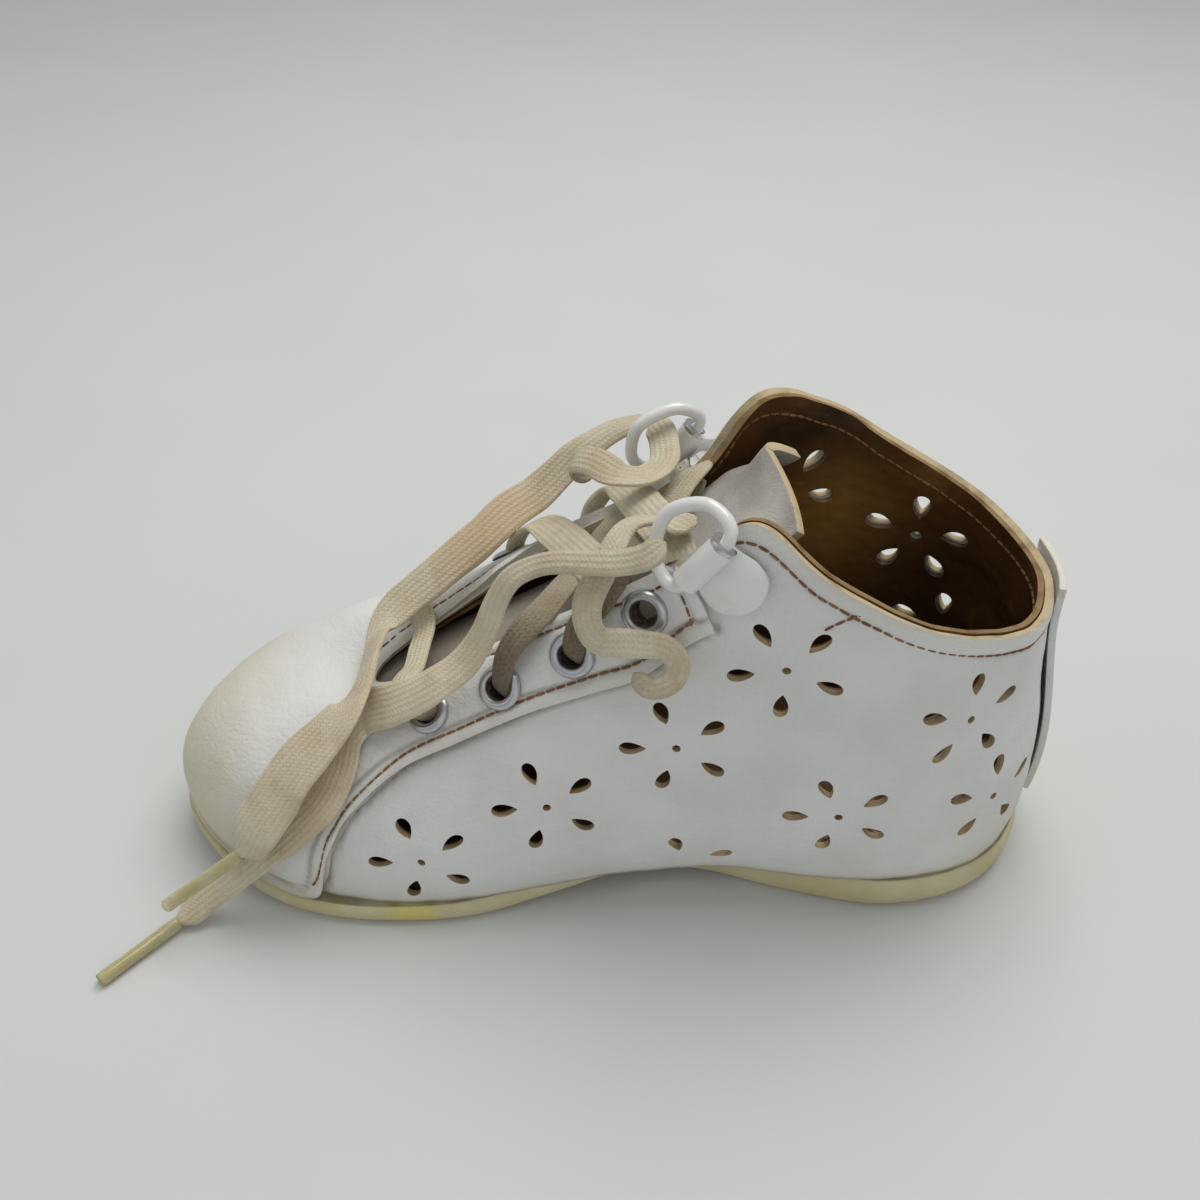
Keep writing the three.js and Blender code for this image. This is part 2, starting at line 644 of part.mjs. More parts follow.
// Flat strip along a route, its broad side turned as the faces say
function ribbon(route, faces, steps, width = LACE.width) {
  const line = new THREE.CatmullRomCurve3(route);
  const looks = new THREE.CatmullRomCurve3(faces);
  const loops = Array.from({ length: steps + 1 }, (_, i) => {
    const middle = line.getPoint(i / steps);
    const tangent = line.getTangent(i / steps);
    const look = looks.getPoint(i / steps);
    look.addScaledVector(tangent, -look.dot(tangent)).normalize();
    const aside = new THREE.Vector3().crossVectors(tangent, look);
    const corner = (across, over) => middle.clone()
      .addScaledVector(aside, across * width / 2)
      .addScaledVector(look, over * LACE.thickness / 2);
    return [corner(-1, 1), corner(1, 1), corner(1, -1), corner(-1, -1)];
  });
  return loft(loops);
}

// Strand over the throat, from above one eyelet to above another. At the top pair it ends beside the eyelet.
function strand(fromSide, fromEyelet, toSide, toEyelet) {
  const half = (side, index) => {
    const [u, v] = [sided(EYELETS[index][0], side), EYELETS[index][1]];
    if (index === EYELETS.length - 1) {
      const ahead = sided(EYELETS[index][0] + LACE.short, side);
      return [{ at: leather(ahead, 1, LACE.over), look: outOf(ahead, 1) }];
    }
    const onEyelet = { at: leather(u, v, LACE.lift), look: outOf(u, v) };
    return [onEyelet, { at: leather(u, 1, LACE.over), look: outOf(u, 1) }];
  };
  const start = half(fromSide, fromEyelet);
  const end = half(toSide, toEyelet).reverse();
  const [left, right] = [start.at(-1), end[0]];
  const middle = { at: left.at.clone().lerp(right.at, 0.5), look: left.look.clone().add(right.look) };
  middle.at.z -= LACE.dip;
  const stops = [...start, middle, ...end];
  return ribbon(stops.map(({ at }) => at), stops.map(({ look }) => look), 6, LACE.bunched);
}

// Straight bar at the first pair of eyelets, and the crossings above it joined in one
function laceCrossings() {
  addPiece('lace_bar', strand('near', 0, 'far', 0), FINISH.cotton);
  const crossings = [
    strand('near', 1, 'far', 2),
    strand('far', 1, 'near', 2),
    strand('near', 2, 'far', 3),
    strand('far', 2, 'near', 3),
  ];
  const joined = crossings.map(solid).reduce((all, one) => all.add(one));
  addPiece('lace_crossings', geometryOf(joined), FINISH.cotton);
}

function laceRuns() {
  const vectors = (points) => points.map((point) => new THREE.Vector3(...point));
  for (const [name, { route, faces }] of Object.entries(LACE_RUNS)) {
    addPiece(name, ribbon(vectors(route), vectors(faces), route.length), FINISH.cotton);
  }
}

function aglet(name) {
  const [from, to] = [AGLETS[name].from, AGLETS[name].to].map((point) => new THREE.Vector3(...point));
  const round = new THREE.Shape().absarc(0, 0, LACE.aglet, 0, 2 * Math.PI);
  const line = new THREE.LineCurve3(from, to);
  const geometry = new THREE.ExtrudeGeometry(round, { steps: 1, curveSegments: 8, extrudePath: line });
  addPiece(name, geometry, FINISH.plastic);
}

outsole();
insole();
upper();
tongue();
backStrip();
for (const side of ['near', 'far']) {
  EYELETS.forEach(([u, v], i) => eyelet(`eyelet_${side}_${i + 1}`, sided(u, side), v));
  ringClip(side);
  dRing(side);
}
laceCrossings();
laceRuns();
Object.keys(AGLETS).forEach(aglet);

export default shoe;
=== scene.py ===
"""Looks of a worn toddler's walking shoe: leather, lining, sole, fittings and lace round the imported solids.

Shapes are worked out in millimetres in the part's own frame and become metres when a mesh is made.
The toe points along -X, the near (inner) side of the foot is -Y, and the floor is Z = 0.
"""

from __future__ import annotations

import logging
import math
from dataclasses import dataclass
from enum import Enum
from typing import Callable, Sequence, Union

import bpy
import numpy as np
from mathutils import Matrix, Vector, kdtree


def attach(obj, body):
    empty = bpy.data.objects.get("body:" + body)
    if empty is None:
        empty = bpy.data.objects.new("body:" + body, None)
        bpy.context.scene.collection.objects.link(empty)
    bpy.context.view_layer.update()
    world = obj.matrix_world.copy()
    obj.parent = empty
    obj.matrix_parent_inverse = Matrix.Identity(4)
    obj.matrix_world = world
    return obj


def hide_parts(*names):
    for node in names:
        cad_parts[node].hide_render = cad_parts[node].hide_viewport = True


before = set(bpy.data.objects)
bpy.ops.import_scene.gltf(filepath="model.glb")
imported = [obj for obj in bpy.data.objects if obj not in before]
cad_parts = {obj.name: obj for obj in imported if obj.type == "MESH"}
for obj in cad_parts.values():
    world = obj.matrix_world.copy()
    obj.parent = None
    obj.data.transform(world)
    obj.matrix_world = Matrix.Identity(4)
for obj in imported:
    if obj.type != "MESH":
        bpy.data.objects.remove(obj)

LOG = logging.getLogger("shoe")
Array = np.ndarray
Place = Callable[[Array, Array], Array]
Triple = tuple[float, float, float]
MM = 0.001
MERGE = 2e-6


class Side(Enum):
    """Inner and outer side of the foot."""

    NEAR = "near"
    FAR = "far"


class Edge(Enum):
    """Edges that stitches follow."""

    SEAM = "seam"
    THROAT = "throat"
    COLLAR = "collar"


class Slot(Enum):
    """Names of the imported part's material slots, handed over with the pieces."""

    WHITE_LEATHER = "white_leather"
    TONGUE_LEATHER = "tongue_leather"
    SOLE_RUBBER = "sole_rubber"
    ALUMINIUM = "eyelet_aluminium"
    ENAMEL = "white_enamel"
    COTTON = "lace_cotton"
    PLASTIC = "aglet_plastic"


def smoothstep(value: Array, low: float, high: float) -> Array:
    """Soft rise from 0 at low to 1 at high.

    Args:
        value: Numbers to shape.
        low: Where the rise starts.
        high: Where it ends; below low it falls instead.
    Returns:
        Numbers from 0 to 1.
    """
    share = np.clip((value - low) / (high - low), 0.0, 1.0)
    return share * share * (3.0 - 2.0 * share)


def squarer(wave: Array, power: float) -> Array:
    """Values from -1 to 1 pushed towards both ends by a power below 1."""
    return np.sign(wave) * np.abs(wave) ** power


def unit(vectors: Array) -> Array:
    """Vectors of length 1 along the last axis."""
    return vectors / np.maximum(np.linalg.norm(vectors, axis=-1, keepdims=True), 1e-9)


def curve(points: Sequence[Sequence[float]], shares: Array, closed: bool = False) -> Array:
    """Smooth curve through points.

    Args:
        points: Places that the curve passes.
        shares: Numbers counted in points, so 1.5 lies between the second and the third.
        closed: Whether the last point leads back to the first.
    Returns:
        One row for each share.
    """
    knots = np.asarray(points, float)
    count = len(knots)
    first = np.floor(shares).astype(int)
    if not closed:
        first = np.clip(first, 0, count - 2)
    part = (shares - first)[:, None]

    def knot(index: Array) -> Array:
        """Knot at an index, wrapped round or continued straight past the ends."""
        if closed:
            return knots[index % count]
        inside = knots[np.clip(index, 0, count - 1)]
        before = (index < 0)[:, None] * (knots[0] - knots[1])
        after = (index >= count)[:, None] * (knots[-1] - knots[-2])
        return inside + before + after

    p0, p1, p2, p3 = (knot(first + step) for step in (-1, 0, 1, 2))
    cubic = -p0 + 3 * p1 - 3 * p2 + p3
    square = 2 * p0 - 5 * p1 + 4 * p2 - p3
    return 0.5 * (2 * p1 + (p2 - p0) * part + square * part**2 + cubic * part**3)


def reached(line: Array) -> Array:
    """How far along a line each of its points lies."""
    steps = np.linalg.norm(np.diff(line, axis=0), axis=1)
    return np.concatenate([[0.0], np.cumsum(steps)])


def read(goal: Array, reach: Array, rows: Array) -> Array:
    """Rows read between their own places along a line."""
    return np.stack([np.interp(goal, reach, column) for column in rows.T], axis=1)


def apart(first: Array, second: Array) -> Array:
    """Distances between two rows of points."""
    return np.linalg.norm(first - second, axis=1)


def nearest(spots: Array, points: Array) -> tuple[Array, Array]:
    """Which spot lies nearest to each point, and how far away."""
    tree = kdtree.KDTree(len(spots))
    for index, spot in enumerate(spots):
        tree.insert(spot, index)
    tree.balance()
    found = [tree.find(point) for point in points]
    return np.array([index for _, index, _ in found]), np.array([away for _, _, away in found])


class Path:
    """Smooth open line through given points, measured by its length."""

    def __init__(self, points: Sequence[Sequence[float]]) -> None:
        """Trace the line finely and note how far along each place lies."""
        shares = np.linspace(0, len(points) - 1, 40 * len(points))
        self.trace = curve(points, shares)
        self.reach = reached(self.trace)
        self.length = float(self.reach[-1])

    def at(self, share: Array) -> Array:
        """Points at shares of the length."""
        return read(np.clip(share, 0, 1) * self.length, self.reach, self.trace)

    def tangent(self, share: Array) -> Array:
        """Directions along the line at shares of the length."""
        step = 0.4 / self.length
        return unit(self.at(share + step) - self.at(share - step))


def along(values: Sequence[Sequence[float]] | Sequence[float], share: Array) -> Array:
    """Values spread evenly along something, read smoothly at shares of it."""
    rows = np.asarray(values, float)
    rows = rows[:, None] if rows.ndim == 1 else rows
    found = curve(rows, np.clip(share, 0, 1) * (len(rows) - 1))
    return found[:, 0] if found.shape[1] == 1 else found


class Bench:
    """Modelling moves that the sub-assemblies share."""

    @staticmethod
    def clear() -> None:
        """Deselect everything."""
        bpy.ops.object.select_all(action="DESELECT")

    @staticmethod
    def focus(piece: bpy.types.Object) -> None:
        """Select one piece alone and make it active."""
        Bench.clear()
        piece.select_set(True)
        bpy.context.view_layer.objects.active = piece

    @staticmethod
    def edit(piece: bpy.types.Object, *moves: Callable[[], object]) -> None:
        """Run edit-mode operators on the whole of a piece.

        Args:
            piece: Mesh to edit.
            moves: Calls made in turn with all of it selected.
        """
        Bench.focus(piece)
        bpy.ops.object.mode_set(mode="EDIT")
        bpy.ops.mesh.select_all(action="SELECT")
        for move in moves:
            move()
        bpy.ops.object.mode_set(mode="OBJECT")

    @staticmethod
    def outward(piece: bpy.types.Object) -> None:
        """Turn every face of a closed piece outward."""
        Bench.edit(piece, lambda: bpy.ops.mesh.normals_make_consistent(inside=False))

    @staticmethod
    def weld(piece: bpy.types.Object) -> None:
        """Merge the vertices that meet."""
        Bench.edit(piece, lambda: bpy.ops.mesh.remove_doubles(threshold=MERGE))

    @staticmethod
    def dress(piece: bpy.types.Object, *finishes: bpy.types.Material) -> None:
        """Give a piece its materials in turn."""
        for finish in finishes:
            piece.data.materials.append(finish)

    @staticmethod
    def places(piece: bpy.types.Object) -> Array:
        """Vertices of a piece in millimetres."""
        flat = np.empty(len(piece.data.vertices) * 3, np.float32)
        piece.data.vertices.foreach_get("co", flat)
        return flat.reshape(-1, 3).astype(float) / MM

    @staticmethod
    def move(piece: bpy.types.Object, points: Array) -> None:
        """Put a piece's vertices at points in millimetres."""
        piece.data.vertices.foreach_set("co", (points * MM).astype(np.float32).ravel())
        piece.data.update()

    @staticmethod
    def mark(piece: bpy.types.Object, name: str, values: Array) -> None:
        """Keep one number for each vertex as an attribute that materials read."""
        attribute = piece.data.attributes.new(name, "FLOAT", "POINT")
        attribute.data.foreach_set("value", np.asarray(values, np.float32))

    @staticmethod
    def patch(
        name: str,
        columns: int,
        rows: int,
        place: Place,
        toward: Place | None = None,
        marks: dict[str, Place] | None = None,
    ) -> bpy.types.Object:
        """Shape a grid, merge what meets and turn its faces outward.

        Args:
            name: Name of the piece.
            columns: Faces along the grid's first way.
            rows: Faces along its second way.
            place: Gives points in millimetres for shares of both ways.
            toward: Gives the outward direction of an open sheet; a closed shape needs none.
            marks: Attributes by name, from the same shares.
        Returns:
            The new piece.
        """
        Bench.clear()
        bpy.ops.mesh.primitive_grid_add(x_subdivisions=columns, y_subdivisions=rows, size=1)
        piece = bpy.context.object
        piece.name = piece.data.name = name
        corner = Bench.places(piece) * MM + 0.5
        s, t = np.round(corner[:, 0], 6), np.round(corner[:, 1], 6)
        Bench.move(piece, place(s, t))
        for mark, values in (marks or {}).items():
            Bench.mark(piece, mark, values(s, t))
        if toward is not None:
            flat = np.empty(len(s) * 3, np.float32)
            piece.data.vertices.foreach_get("normal", flat)
            if float((flat.reshape(-1, 3) * toward(s, t)).sum()) < 0:
                Bench.edit(piece, bpy.ops.mesh.flip_normals)
        Bench.weld(piece)
        if toward is None:
            Bench.outward(piece)
        return piece

    @staticmethod
    def apply(piece: bpy.types.Object, kind: str, **settings: object) -> None:
        """Add a modifier with settings and apply it."""
        Bench.focus(piece)
        modifier = piece.modifiers.new(kind.title(), kind)
        for key, value in settings.items():
            setattr(modifier, key, value)
        bpy.ops.object.modifier_apply(modifier=modifier.name)

    @staticmethod
    def thicken(piece: bpy.types.Object, thickness: float, rim: int = 0) -> None:
        """Give an open sheet its thickness.

        Args:
            piece: Sheet whose outer side is there.
            thickness: How far it grows inward, in millimetres.
            rim: How many materials after the sheet's own its rim's is.
        """
        Bench.apply(
            piece, "SOLIDIFY", thickness=thickness * MM, offset=-1, use_rim=True, material_offset_rim=rim
        )

    @staticmethod
    def cut(piece: bpy.types.Object, cutter: bpy.types.Object) -> None:
        """Cut a piece with another, whose finish lines the cut. The cutter stays."""
        Bench.apply(
            piece,
            "BOOLEAN",
            operation="DIFFERENCE",
            solver="MANIFOLD",
            object=cutter,
            material_mode="TRANSFER",
        )

    @staticmethod
    def smooth(piece: bpy.types.Object, degrees: float = 40.0) -> None:
        """Shade a piece smooth up to an angle between faces."""
        Bench.focus(piece)
        bpy.ops.object.shade_smooth_by_angle(angle=math.radians(degrees))

    @staticmethod
    def join(name: str, pieces: Sequence[bpy.types.Object]) -> bpy.types.Object:
        """Join pieces into the first one and merge what meets."""
        Bench.clear()
        for piece in pieces:
            piece.select_set(True)
        bpy.context.view_layer.objects.active = pieces[0]
        bpy.ops.object.join()
        joined = pieces[0]
        joined.name = joined.data.name = name
        Bench.weld(joined)
        return joined

    @staticmethod
    def copies(
        name: str, template: bpy.types.Object, frames: Sequence[tuple[Array, Array]]
    ) -> bpy.types.Object:
        """Copy a small shape to many places, as one mesh.

        Args:
            name: Name of the joined piece.
            template: Shape in millimetres round the origin; it is used up.
            frames: Pairs of a place and a matrix whose rows are the shape's three axes there.
        Returns:
            The joined piece.
        """
        shape = Bench.places(template)
        faces = [tuple(face.vertices) for face in template.data.polygons]
        points = [shape @ axes + place for place, axes in frames]
        every = [tuple(v + i * len(shape) for v in face) for i in range(len(frames)) for face in faces]
        mesh = bpy.data.meshes.new(name)
        mesh.from_pydata((np.concatenate(points) * MM).tolist(), [], every)
        piece = bpy.data.objects.new(name, mesh)
        bpy.context.scene.collection.objects.link(piece)
        bpy.data.objects.remove(template)
        Bench.outward(piece)
        return piece

    @staticmethod
    def rod(name: str, sides: int, rings: int) -> bpy.types.Object:
        """Round bead of 1 mm radius and 1 mm half length along X, to be copied."""
        Bench.clear()
        bpy.ops.mesh.primitive_uv_sphere_add(segments=sides, ring_count=rings, radius=MM)
        bead = bpy.context.object
        bead.name = name
        points = Bench.places(bead)[:, [2, 0, 1]]
        points[:, 0] = squarer(points[:, 0], 0.5)
        Bench.move(bead, points)
        return bead


class Socket:
    """A shader value that Python arithmetic extends with Math nodes."""

    def __init__(self, graph: Graph, link: bpy.types.NodeSocket) -> None:
        """Wrap one output socket of a graph."""
        self.graph = graph
        self.link = link

    def maths(self, operation: str, first: Value, second: Value) -> Socket:
        """Math node on two values."""
        return self.graph.node("ShaderNodeMath", {"operation": operation}, {0: first, 1: second})

    def __add__(self, other: Value) -> Socket:
        """Sum."""
        return self.maths("ADD", self, other)

    def __sub__(self, other: Value) -> Socket:
        """Difference."""
        return self.maths("SUBTRACT", self, other)

    def __rsub__(self, other: Value) -> Socket:
        """Difference from a number."""
        return self.maths("SUBTRACT", other, self)

    def __mul__(self, other: Value) -> Socket:
        """Product."""
        return self.maths("MULTIPLY", self, other)

    __radd__ = __add__
    __rmul__ = __mul__


Value = Union[Socket, float, Sequence[float]]


class Graph:
    """Node tree of one material."""

    def __init__(self, name: str) -> None:
        """Start a material with a Principled surface."""
        self.material = bpy.data.materials.new(name)
        self.material.use_nodes = True
        self.tree = self.material.node_tree
        self.surface = self.tree.nodes["Principled BSDF"]

    def node(
        self, kind: str, settings: dict[str, object], inputs: dict[str | int, Value], out: str | int = 0
    ) -> Socket:
        """Make any node.

        Args:
            kind: Node type.
            settings: Properties set first; stops are those of a colour ramp.
            inputs: Values or links by socket name or place.
            out: Output that is handed back.
        Returns:
            The chosen output.
        """
        made = self.tree.nodes.new(kind)
        for key, value in settings.items():
            if key == "stops":
                ramp = made.color_ramp.elements
                while len(ramp) < len(value):
                    ramp.new(1.0)
                for element, (position, colour) in zip(ramp, value):
                    element.position = position
                    element.color = (*colour, 1.0)
            else:
                setattr(made, key, value)
        for key, value in inputs.items():
            self.feed(made.inputs[key], value)
        return Socket(self, made.outputs[out])

    def feed(self, socket: bpy.types.NodeSocket, value: Value) -> None:
        """Link or set one input."""
        if isinstance(value, Socket):
            self.tree.links.new(value.link, socket)
        elif socket.type == "RGBA" and len(value) == 3:
            socket.default_value = (*value, 1.0)
        else:
            socket.default_value = value

    def finish(self, **inputs: Value) -> bpy.types.Material:
        """Feed the surface, with spaces in its socket names written as underscores."""
        for key, value in inputs.items():
            self.feed(self.surface.inputs[key.replace("_", " ")], value)
        return self.material

    def place(self, stretch: Triple = (1.0, 1.0, 1.0)) -> Socket:
        """Object coordinates in metres, stretched along each axis."""
        found = self.node("ShaderNodeTexCoord", {}, {}, "Object")
        return self.node("ShaderNodeMapping", {}, {"Vector": found, "Scale": stretch})

    def noise(
        self, size: float, detail: float = 3.0, vector: Socket | None = None, rough: float = 0.5
    ) -> Socket:
        """Noise with features of a size in millimetres."""
        inputs = {
            "Vector": vector or self.place(),
            "Scale": 1.0 / (size * MM),
            "Detail": detail,
            "Roughness": rough,
        }
        return self.node("ShaderNodeTexNoise", {}, inputs, 0)

    def cells(self, size: float, feature: str = "F1", vector: Socket | None = None) -> Socket:
        """Distance within cells of a size in millimetres."""
        inputs = {"Vector": vector or self.place(), "Scale": 1.0 / (size * MM)}
        return self.node("ShaderNodeTexVoronoi", {"feature": feature}, inputs, "Distance")

    def mark(self, name: str) -> Socket:
        """A piece's own attribute."""
        return self.node("ShaderNodeAttribute", {"attribute_name": name}, {}, "Fac")

    def step(self, value: Socket, low: float, high: float) -> Socket:
        """Soft rise from 0 at low to 1 at high."""
        inputs = {"Value": value, "From Min": low, "From Max": high}
        return self.node("ShaderNodeMapRange", {"interpolation_type": "SMOOTHSTEP"}, inputs)

    def mix(self, share: Value, first: Value, second: Value) -> Socket:
        """Colour between two."""
        inputs = {0: share, 6: first, 7: second}
        return self.node("ShaderNodeMix", {"data_type": "RGBA", "clamp_factor": True}, inputs, 2)

    def ramp(self, value: Socket, *stops: tuple[float, Triple]) -> Socket:
        """Colours along a value."""
        return self.node("ShaderNodeValToRGB", {"stops": stops}, {"Fac": value})

    def bump(self, height: Socket, depth: float, strength: float = 1.0) -> Socket:
        """Surface direction from a height, depth in millimetres."""
        inputs = {"Height": height, "Distance": depth * MM, "Strength": strength}
        return self.node("ShaderNodeBump", {}, inputs, "Normal")

    def spot(self, middle: Triple, radius: float, soft: float) -> Socket:
        """1 inside a ball given in millimetres, fading over its soft rim."""
        inputs = {0: self.place(), 1: tuple(MM * m for m in middle)}
        away = self.node("ShaderNodeVectorMath", {"operation": "DISTANCE"}, inputs, "Value")
        return self.step(away, (radius + soft) * MM, (radius - soft) * MM)


@dataclass(frozen=True)
class WhiteLeather:
    """White leather, grained, gone yellow where it wore, and darkened by grime and by painted shade along its
    seams.
    """

    white: Triple = (0.71, 0.71, 0.69)
    pale: Triple = (0.78, 0.785, 0.77)
    yellow: Triple = (0.58, 0.485, 0.24)
    grime: Triple = (0.17, 0.12, 0.07)
    grain: float = 0.62
    depth: float = 0.14

    def make(self) -> bpy.types.Material:
        """Colour from broad and fine patches, bump from grain and fine wrinkles."""
        graph = Graph("white leather")
        broad = graph.noise(16.0, 3.0)
        fine = graph.noise(1.3, 4.0)
        colour = graph.mix(graph.step(broad, 0.32, 0.68), self.white, self.pale)
        stain = graph.mark("yellow") * (0.72 + 0.5 * graph.noise(5.0, 4.0))
        colour = graph.mix(stain, colour, self.yellow)
        speck = graph.step(graph.noise(0.9, 2.0), 0.68, 0.78) * graph.step(graph.noise(9.0, 2.0), 0.5, 0.68)
        # The marked darkening is dirt together with painted shade next to the vamp's seam and at the sole
        # line.
        soil = graph.mark("grime") * (0.55 + 0.8 * fine) + 0.16 * speck
        colour = graph.mix(soil, colour, self.grime)
        wrinkle = graph.noise(2.4, 5.0, graph.place((0.6, 1.0, 1.7)), 0.62)
        pebble = graph.cells(self.grain, "SMOOTH_F1")
        pores = graph.cells(1.1, "DISTANCE_TO_EDGE", graph.place((0.8, 1.0, 1.2)))
        height = 1.5 * wrinkle + 0.6 * pebble + 0.2 * graph.step(pores, 0.0, 0.16) + 0.45 * fine
        rough = 0.44 + 0.16 * broad + 0.18 * soil
        return graph.finish(
            Base_Color=colour,
            Roughness=rough,
            Normal=graph.bump(height, self.depth, 0.8),
            Specular_IOR_Level=0.42,
        )


@dataclass(frozen=True)
class RawEdge:
    """Cut edge of leather, cream and fibrous."""

    name: str = "raw leather edge"
    cream: Triple = (0.58, 0.47, 0.29)
    dark: Triple = (0.21, 0.125, 0.05)
    dirt: float = 0.5

    def make(self) -> bpy.types.Material:
        """Cream with brown specks and a rough, fibrous face."""
        graph = Graph(self.name)
        fibre = graph.noise(0.5, 5.0, None, 0.7)
        patch = graph.step(graph.noise(3.0, 4.0), 0.42, 0.72)
        colour = graph.mix(self.dirt * patch + 0.3 * graph.step(fibre, 0.55, 0.8), self.cream, self.dark)
        return graph.finish(
            Base_Color=colour, Roughness=0.82, Normal=graph.bump(fibre, 0.12), Specular_IOR_Level=0.25
        )


@dataclass(frozen=True)
class Lining:
    """Dark amber lining, pebbled and polished by the foot."""

    dark: Triple = (0.052, 0.023, 0.008)
    brown: Triple = (0.14, 0.06, 0.016)
    amber: Triple = (0.42, 0.225, 0.05)

    def make(self) -> bpy.types.Material:
        """Brown with an amber patch on the worn flank and a pebbled gloss."""
        graph = Graph("amber lining")
        broad = graph.noise(13.0, 4.0)
        colour = graph.ramp(broad, (0.3, self.dark), (0.62, self.brown), (0.86, self.amber))
        worn = graph.spot((32.0, 21.0, 40.0), 9.0, 9.0) * (0.5 + 0.6 * graph.noise(4.0, 3.0))
        colour = graph.mix(worn, colour, self.amber)
        pebble = graph.cells(1.7, "SMOOTH_F1")
        height = 1.0 * pebble + 0.7 * graph.noise(3.0, 4.0)
        rough = 0.3 + 0.25 * graph.noise(2.0, 3.0)
        return graph.finish(Base_Color=colour, Roughness=rough, Normal=graph.bump(height, 0.22))


@dataclass(frozen=True)
class FleshSide:
    """Grey-white flesh side of the tongue's leather."""

    pale: Triple = (0.56, 0.535, 0.49)
    grey: Triple = (0.40, 0.37, 0.325)

    def make(self) -> bpy.types.Material:
        """Soft nap in two greys, with a faint brown darkening read from the piece's mark."""
        graph = Graph("tongue flesh side")
        nap = graph.noise(0.45, 5.0, graph.place((1.0, 1.4, 1.0)), 0.7)
        broad = graph.noise(7.0, 4.0)
        colour = graph.mix(graph.step(broad, 0.35, 0.7), self.pale, self.grey)
        colour = graph.mix(0.35 * graph.step(nap, 0.5, 0.75), colour, self.grey)
        colour = graph.mix(0.7 * graph.mark("soil"), colour, (0.17, 0.11, 0.06))
        return graph.finish(
            Base_Color=colour, Roughness=0.85, Normal=graph.bump(nap, 0.15), Specular_IOR_Level=0.2
        )


@dataclass(frozen=True)
class YellowedRubber:
    """Cream rubber of the sole, yellowed unevenly."""

    cream: Triple = (0.64, 0.58, 0.375)
    deep: Triple = (0.55, 0.475, 0.26)
    bright: Triple = (0.66, 0.60, 0.16)
    grime: Triple = (0.10, 0.075, 0.04)

    def make(self) -> bpy.types.Material:
        """Cream with deeper patches, one bright patch at the ball, dirt under the tread and painted shade in
        the gap under the upper.
        """
        graph = Graph("yellowed rubber")
        broad = graph.noise(11.0, 4.0)
        colour = graph.mix(graph.step(broad, 0.35, 0.7), self.cream, self.deep)
        patch = graph.spot((-28.5, -25.0, 2.2), 3.6, 2.6) * (0.5 + 0.5 * graph.noise(2.0, 3.0))
        colour = graph.mix(patch, colour, self.bright)
        specks = graph.step(graph.noise(0.8, 3.0), 0.66, 0.8)
        # The marked darkening is dirt on the tread and its edge, and painted shade along the top of the side
        # under the upper.
        colour = graph.mix(graph.mark("grime") + 0.2 * specks, colour, self.grime)
        height = graph.noise(0.7, 4.0) + 1.4 * graph.mark("tread") * graph.cells(2.2, "SMOOTH_F1")
        return graph.finish(
            Base_Color=colour,
            Roughness=0.5 + 0.25 * broad,
            Normal=graph.bump(height, 0.12),
            Specular_IOR_Level=0.35,
        )


@dataclass(frozen=True)
class SockLeather:
    """Brown sock inside, darkest where heel and toes pressed."""

    brown: Triple = (0.115, 0.056, 0.016)
    dark: Triple = (0.03, 0.015, 0.006)

    def make(self) -> bpy.types.Material:
        """Brown leather with two pressed patches."""
        graph = Graph("sock leather")
        pressed = graph.spot((38.0, 0.0, 8.0), 10.0, 8.0) + graph.spot((-34.0, 1.0, 7.0), 11.0, 8.0)
        colour = graph.mix(0.6 * pressed + 0.3 * graph.noise(6.0, 4.0), self.brown, self.dark)
        height = graph.cells(1.2, "SMOOTH_F1") + graph.noise(2.0, 4.0)
        return graph.finish(Base_Color=colour, Roughness=0.5, Normal=graph.bump(height, 0.15))


@dataclass(frozen=True)
class Thread:
    """Waxed brown sewing thread."""

    brown: Triple = (0.2, 0.092, 0.034)
    pale: Triple = (0.34, 0.19, 0.085)

    def make(self) -> bpy.types.Material:
        """Brown that varies from stitch to stitch."""
        graph = Graph("brown thread")
        colour = graph.mix(graph.step(graph.noise(2.6, 2.0), 0.4, 0.75), self.brown, self.pale)
        return graph.finish(Base_Color=colour, Roughness=0.7, Normal=graph.bump(graph.noise(0.25, 2.0), 0.06))


@dataclass(frozen=True)
class DullAluminium:
    """Rolled eyelet metal, dulled, with dirt in its bore."""

    metal: Triple = (0.56, 0.57, 0.585)
    dirt: Triple = (0.05, 0.032, 0.018)

    def make(self) -> bpy.types.Material:
        """Bright rim over a dirty bore."""
        graph = Graph("dull aluminium")
        soil = graph.mark("soil") * (0.6 + 0.7 * graph.noise(0.7, 3.0))
        colour = graph.mix(soil, self.metal, self.dirt)
        scratch = graph.noise(0.5, 4.0)
        return graph.finish(
            Base_Color=colour,
            Metallic=1.0 - 0.9 * graph.step(soil, 0.3, 0.8),
            Roughness=0.24 + 0.2 * scratch + 0.35 * soil,
            Normal=graph.bump(scratch, 0.02),
        )


@dataclass(frozen=True)
class WhiteEnamel:
    """Thick glossy enamel over metal, worn bare at an edge."""

    white: Triple = (0.80, 0.81, 0.79)
    bare: Triple = (0.62, 0.62, 0.61)

    def make(self) -> bpy.types.Material:
        """White gloss, with bare metal where the ring rubs."""
        graph = Graph("white enamel")
        worn = graph.step(graph.mark("bare") + 0.35 * graph.noise(1.2, 3.0), 0.62, 0.72)
        tint = graph.mix(graph.step(graph.noise(4.0, 3.0), 0.45, 0.75), self.white, (0.74, 0.735, 0.68))
        wave = graph.noise(3.0, 2.0)
        return graph.finish(
            Base_Color=graph.mix(worn, tint, self.bare),
            Metallic=worn,
            Roughness=0.12 + 0.1 * wave,
            Normal=graph.bump(wave, 0.05),
            Coat_Weight=0.6,
        )


